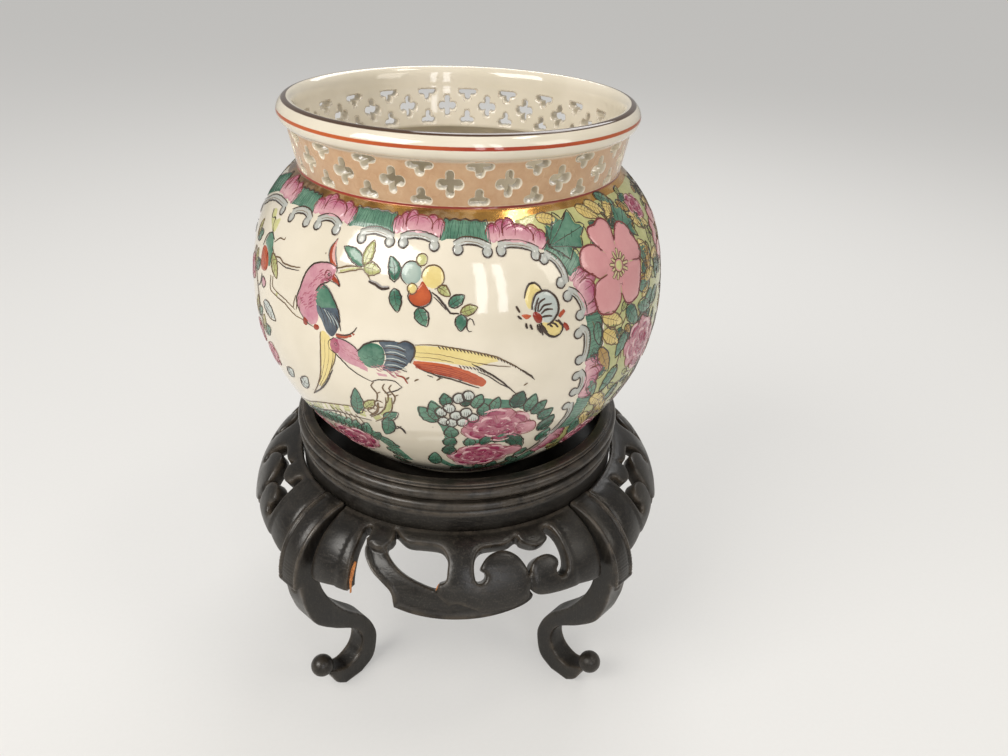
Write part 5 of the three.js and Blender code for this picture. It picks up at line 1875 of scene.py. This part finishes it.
def painted_highlight_lines(places, broken):
    """Painted highlight along the raised lines: the step, the rim and the top fillet."""
    step = 0.8 * swell(nearest_edge(places, [lip_band(broken)]), 0.4)
    fillet = 0.7 * swell(places[:, 1] + TOP_FILLET[0], 0.4)
    return np.maximum.reduce([step, rim_swell(places, broken), fillet])


def build_panel(name, turn, broken=False):
    outlines = panel_outlines(broken)
    places, faces, away = carved_sheet(outlines, carved_lines=panel_lines(broken))
    relief = panel_relief(places, broken)
    carving = Parcel("edge")
    # The edge value paints the worn colour: partly wear and partly painted highlight along rounded edges,
    # painted highlight along step, rim and fillet
    edge = np.maximum(np.exp(-away / 0.45), painted_highlight_lines(places, broken))
    pillow = PILLOW * np.exp(-away / PILLOW_REACH)
    carving.add(on_apron(places, relief + rounded(away) + pillow), faces, edge=edge)
    back = APRON_THICKNESS - rounded(away) * 0.6
    carving.add(on_apron(places, back), [f[::-1] for f in faces], edge=edge * 0.6)
    for outline in outlines:
        front = panel_relief(outline, broken) + WOOD_EDGE + PILLOW
        behind = np.full(len(outline), APRON_THICKNESS - WOOD_EDGE * 0.6)
        rows = [on_apron(outline, front + (behind - front) * share) for share in (1.0, 0.66, 0.33, 0.0)]
        wall_edge = np.repeat([0.4, 0.1, 0.2, 1.0], len(outline))
        carving.add(np.vstack(rows), rows_faces(4, len(outline)), edge=wall_edge)
    carved_piece(carving, "carved_" + name, "apron_" + name, turn=turn)


def sliver(name, path, width, thickness):
    """A torn strip of wood along a path of (across, minus down, deep)."""
    strip = Parcel()
    last = len(path) - 1
    for k, (x, y, deep) in enumerate(path):
        half = width / 2 * (0.35 + 0.65 * math.sin(math.pi * min(k / last + 0.12, 1)))
        around = ((-half, 0), (0, -thickness / 2), (half, 0), (0, thickness / 2))
        places = np.array([(x + dx, y) for dx, _ in around])
        strip.add(on_apron(places, np.array([deep + dd for _, dd in around])), [])
    strip.faces = [(0, 1, 2, 3), tuple(4 * last + i for i in (3, 2, 1, 0))]
    strip.faces += [f[::-1] for f in rows_faces(last + 1, 4)]
    strip.piece(name, "stand", "ebonised_wood", RAW_BREAK, smooth=False)


# Legs, drawn in their own plane as (radius, height)


STRIP_END = 43.0
STRIP_R = LEG_TOP_R + APRON_BULGE + 2.4
KNEE_R = STRIP_R - 1.6
ANKLE_R = LEG_TOP_R - 5.0
ANKLE_Z = 12.2
FOOT_INNER_R = ANKLE_R + 3.3
FOOT_OUTER_R = FOOT_INNER_R + 5.5
BALL_R = 2.9
BALL_MIDDLE = (FOOT_OUTER_R + 5.0, 9.0)
STRIP_WIDTH = 7.0
# Across the knee strip: share of its half width and depth of the groove beside each edge line
STRIP_GROOVES = [
    (1, 0), (0.9, 0), (0.82, 0.34), (0.74, 0.36), (0.6, 0.12), (0.3, 0.03), (0, 0), (-0.3, 0.03),
    (-0.6, 0.12), (-0.74, 0.36), (-0.82, 0.34), (-0.9, 0), (-1, 0),
]
ANKLE_WIDTH = 5.6


def on_leg(*shares):
    """Places as shares of the way out and up from the ankle to the knee."""
    return [(ANKLE_R + (KNEE_R - ANKLE_R) * out, ANKLE_Z + (STRIP_END - ANKLE_Z) * up) for out, up in shares]


def leg_outline():
    top = APRON_TOP + 0.3
    ball_r, ball_z = BALL_MIDDLE
    strip = arc((LEG_TOP_R, STRIP_END), STRIP_R - LEG_TOP_R, top - STRIP_END, 90, 0, 16)
    end = [(STRIP_R, STRIP_END), (STRIP_R - 0.3, STRIP_END - 0.7), *on_leg((1, 0.98))]
    front = [
        *on_leg((1, 0.98), (1, 0.93), (0.985, 0.86), (0.95, 0.72), (0.83, 0.51), (0.55, 0.325), (0.25, 0.17),
                (0.115, 0), (0.185, -0.155), (0.385, -0.225)),
        (ball_r - BALL_R * 1.05, ball_z - BALL_R * 0.86), (ball_r - BALL_R * 0.35, ball_z - BALL_R * 0.4),
    ]
    sole = [
        (ball_r - BALL_R * 0.2, ball_z - BALL_R * 0.75), (FOOT_OUTER_R + 2.6, ball_z * 0.27),
        (FOOT_OUTER_R, 0),
    ]
    pad = [(FOOT_OUTER_R, 0), ((FOOT_OUTER_R + FOOT_INNER_R) / 2, 0), (FOOT_INNER_R, 0)]
    back = [
        (FOOT_INNER_R, 0), (ANKLE_R - 0.66, ANKLE_Z * 0.2), (ANKLE_R - 2.2, ANKLE_Z * 0.57),
        (ANKLE_R - 2.2, ANKLE_Z),
        *on_leg((0.05, 0.227), (0.415, 0.494), (0.663, 0.789), (0.72, 1.032), (0.585, 1.26)),
        (LEG_TOP_R + 2.4, WAIST_BOTTOM - 0.6), (LEG_TOP_R, WAIST_BOTTOM),
    ]
    shoulder = [(LEG_TOP_R, WAIST_BOTTOM), (LEG_TOP_R, (WAIST_BOTTOM + top) / 2), (LEG_TOP_R, top)]
    runs = [strip, end, front, [front[-1], sole[0]], sole, pad, back, shoulder]
    return anticlockwise(grooved(closed_outline(runs, 0.32)))


def out_of_strip(outline):
    """The direction away from the middle of the knee strip's curve."""
    out = outline - np.array([LEG_TOP_R, STRIP_END])
    return out / np.maximum(np.hypot(*out.T), 1e-9)[:, None]


def grooved(outline):
    """Fine saw-like lines across the lower end of the knee strip."""
    up = outline[:, 1] - STRIP_END
    radius = np.hypot(outline[:, 0] - LEG_TOP_R, up)
    on_strip = (radius > 14) & (up > 0) & (up < 9)
    wave = np.abs(np.sin(outline[:, 1] * math.pi / 0.85))
    depth = 0.16 * wave * smoothstep((STRIP_END + 9 - outline[:, 1]) / 4)
    return outline - out_of_strip(outline) * np.where(on_strip, depth, 0)[:, None]


def leg_half_width(z):
    share = smoothstep((z - ANKLE_Z) / (0.74 * (STRIP_END - ANKLE_Z)))
    return (ANKLE_WIDTH + (STRIP_WIDTH - ANKLE_WIDTH) * share) / 2


def beside_leg(places, side):
    return np.column_stack([side, -places[:, 0], places[:, 1]])


def leg_carving():
    outline = leg_outline()
    places, faces, away = carved_sheet([outline], 1.1)
    half = leg_half_width(places[:, 1]) - rounded(away)
    # Edge value: worn colour along rounded edges, partly wear and partly painted highlight
    edge = np.exp(-away / 0.4)
    carving = Parcel("edge")
    carving.add(beside_leg(places, half), [f[::-1] for f in faces], edge=edge)
    carving.add(beside_leg(places, -half), faces, edge=edge)
    rim = leg_half_width(outline[:, 1]) - WOOD_EDGE
    strip = (outline[:, 1] > STRIP_END) & (outline[:, 0] > LEG_TOP_R + 1)
    out = out_of_strip(outline)
    rows = []
    for share, depth in STRIP_GROOVES:
        rows.append(beside_leg(outline - out * (strip * depth)[:, None], rim * share))
    # Worn colour at the strip's edges: partly wear, partly painted highlight
    rubbed = np.repeat([abs(share) ** 4 for share, _ in STRIP_GROOVES], len(outline))
    carving.add(np.vstack(rows), rows_faces(len(rows), len(outline)), edge=rubbed)
    for (r, z), wide, tall in ((BALL_MIDDLE, BALL_R, BALL_R), ((KNEE_R - 0.9, STRIP_END - 3.0), 1.5, 1.9)):
        profile = [(wide * math.sin(a), -tall * math.cos(a)) for a in np.linspace(0, math.pi, 17)]
        points, knob_faces = lathed(profile, 28)
        carving.add(points + (0, -r, z), knob_faces, edge=0.35)
    return carving


def build_stand():
    turned_ring("turned_rim", "stand_rim_ring", rim_profile())
    turned_ring("turned_waist", "stand_waist_ring", waist_profile())
    bpy.data.objects["stand_floor_board"].material_slots[0].material = LEVEL_GRAIN
    quarter = math.pi / 2
    build_panel("panel_front", 0, broken=True)
    for k, side in enumerate(("right", "back", "left")):
        build_panel("panel_" + side, (k + 1) * quarter)
    leg = leg_carving()
    for k, corner in enumerate(("front_right", "back_right", "back_left", "front_left")):
        carved_piece(leg, "carved_leg_" + corner, "leg_" + corner, UPRIGHT_GRAIN, quarter / 2 + k * quarter)
    splinter = [(-24.0, -12.2, 1.6), (-23.9, -14.5, 1.2), (-23.8, -17, 1.0), (-23.6, -19.9, 1.2)]
    sliver("broken_splinter", splinter, 0.95, 0.8)
    sliver("chip_by_opening", [(-4.0, -13.6, 1.6), (-4.2, -14.3, 1.4), (-4.6, -15.1, 1.6)], 0.7, 0.7)


build_stand()


# Floor, light and camera


FLOOR_GREY = (0.80, 0.79, 0.77, 1)
FLOOR_GREY_DEEP = (0.76, 0.75, 0.73, 1)
ROOM_WHITE = (1.0, 0.985, 0.96, 1)
FLOOR_HALF = 4.0
WORLD_LIGHT = 0.36
FLOOR_GLOW = 0.45
CAMERA_PLACE = (0.0, -0.1837, 0.18105)
CAMERA_PITCH = 0.5184
CAMERA_YAW = 0.0644
CAMERA_ROLL = 0.0382
CAMERA_LENS = 28.79
SENSOR_WIDTH = 36.0


def build_floor():
    half = FLOOR_HALF
    corners = [(-half, -half, 0), (half, -half, 0), (half, half, 0), (-half, half, 0)]
    mesh = bpy.data.meshes.new("table_top")
    mesh.from_pydata(corners, [], [(0, 1, 2, 3)])
    material, kit, shader = material_with_shader("table_cloth", Roughness=0.85)
    kit.feed(shader, Base_Color=kit.mix(kit.noise(900), FLOOR_GREY, FLOOR_GREY_DEEP))
    glow = kit.add("ShaderNodeEmission")
    kit.feed(glow, Color=FLOOR_GREY)
    path = kit.add("ShaderNodeLightPath")
    seen = kit.times(path.outputs["Is Camera Ray"], FLOOR_GLOW)
    both = kit.add("ShaderNodeMixShader")
    kit.feed(both, seen, shader.outputs[0], glow.outputs[0])
    kit.feed(material.node_tree.nodes["Material Output"], Surface=both.outputs[0])
    mesh.materials.append(material)
    floor = bpy.data.objects.new("table_top", mesh)
    bpy.context.scene.collection.objects.link(floor)


def build_world():
    """An even white room. The camera and the glaze both see it white."""
    world = bpy.data.worlds.new("studio")
    bpy.context.scene.world = world
    world.use_nodes = True
    kit = Nodes(world.node_tree)
    path = kit.add("ShaderNodeLightPath")
    seen = kit.math("MAXIMUM", path.outputs["Is Camera Ray"], path.outputs["Is Transmission Ray"])
    background = world.node_tree.nodes["Background"]
    kit.feed(background, Color=ROOM_WHITE, Strength=kit.ramp(seen, 0, 1, WORLD_LIGHT, 1))


def build_lamp(name, place, target, size, power, colour=(1, 1, 1)):
    """A soft rectangular lamp that faces a target, in metres and watts."""
    lamp = bpy.data.lights.new(name, "AREA")
    lamp.shape = "RECTANGLE"
    lamp.size, lamp.size_y = size
    lamp.energy = power
    lamp.color = colour
    thing = bpy.data.objects.new(name, lamp)
    thing.location = place
    thing.rotation_euler = (Vector(place) - Vector(target)).to_track_quat("Z", "Y").to_euler()
    bpy.context.scene.collection.objects.link(thing)


def build_camera():
    """The photograph's camera, turned right, tipped down and rolled."""
    camera = bpy.data.cameras.new("camera")
    camera.lens = CAMERA_LENS
    camera.sensor_width = SENSOR_WIDTH
    camera.clip_start = 0.005
    thing = bpy.data.objects.new("camera", camera)
    turn = Matrix.Rotation(-CAMERA_YAW, 4, "Z")
    tip = Matrix.Rotation(math.pi / 2 - CAMERA_PITCH, 4, "X")
    thing.matrix_world = Matrix.Translation(CAMERA_PLACE) @ turn @ tip @ Matrix.Rotation(CAMERA_ROLL, 4, "Z")
    bpy.context.scene.collection.objects.link(thing)
    bpy.context.scene.camera = thing


OBJECT_MIDDLE = (0, 0, 0.09)
NECK_FRONT = (0.012, -0.034, 0.12)
build_floor()
build_world()
build_lamp("window_left", (-0.42, -0.34, 0.52), OBJECT_MIDDLE, (0.42, 0.34), 3.5, (1.0, 0.97, 0.92))
for name, across in (("window_pane_left", 0.1), ("window_pane_right", 0.2)):
    build_lamp(name, (across, -0.5, 0.32), OBJECT_MIDDLE, (0.05, 0.4), 0.3, (0.98, 0.98, 1.0))
build_lamp("window_right", (0.42, -0.26, 0.36), OBJECT_MIDDLE, (0.2, 0.26), 0.45, (1.0, 0.95, 0.86))
build_lamp("skylight", (0.235, -0.095, 0.62), NECK_FRONT, (0.12, 0.07), 0.28, (1.0, 0.95, 0.85))
build_lamp("ceiling_behind", (0.12, 0.38, 0.55), OBJECT_MIDDLE, (0.4, 0.3), 1.5)
build_camera()
bpy.context.scene.view_settings.view_transform = "Standard"
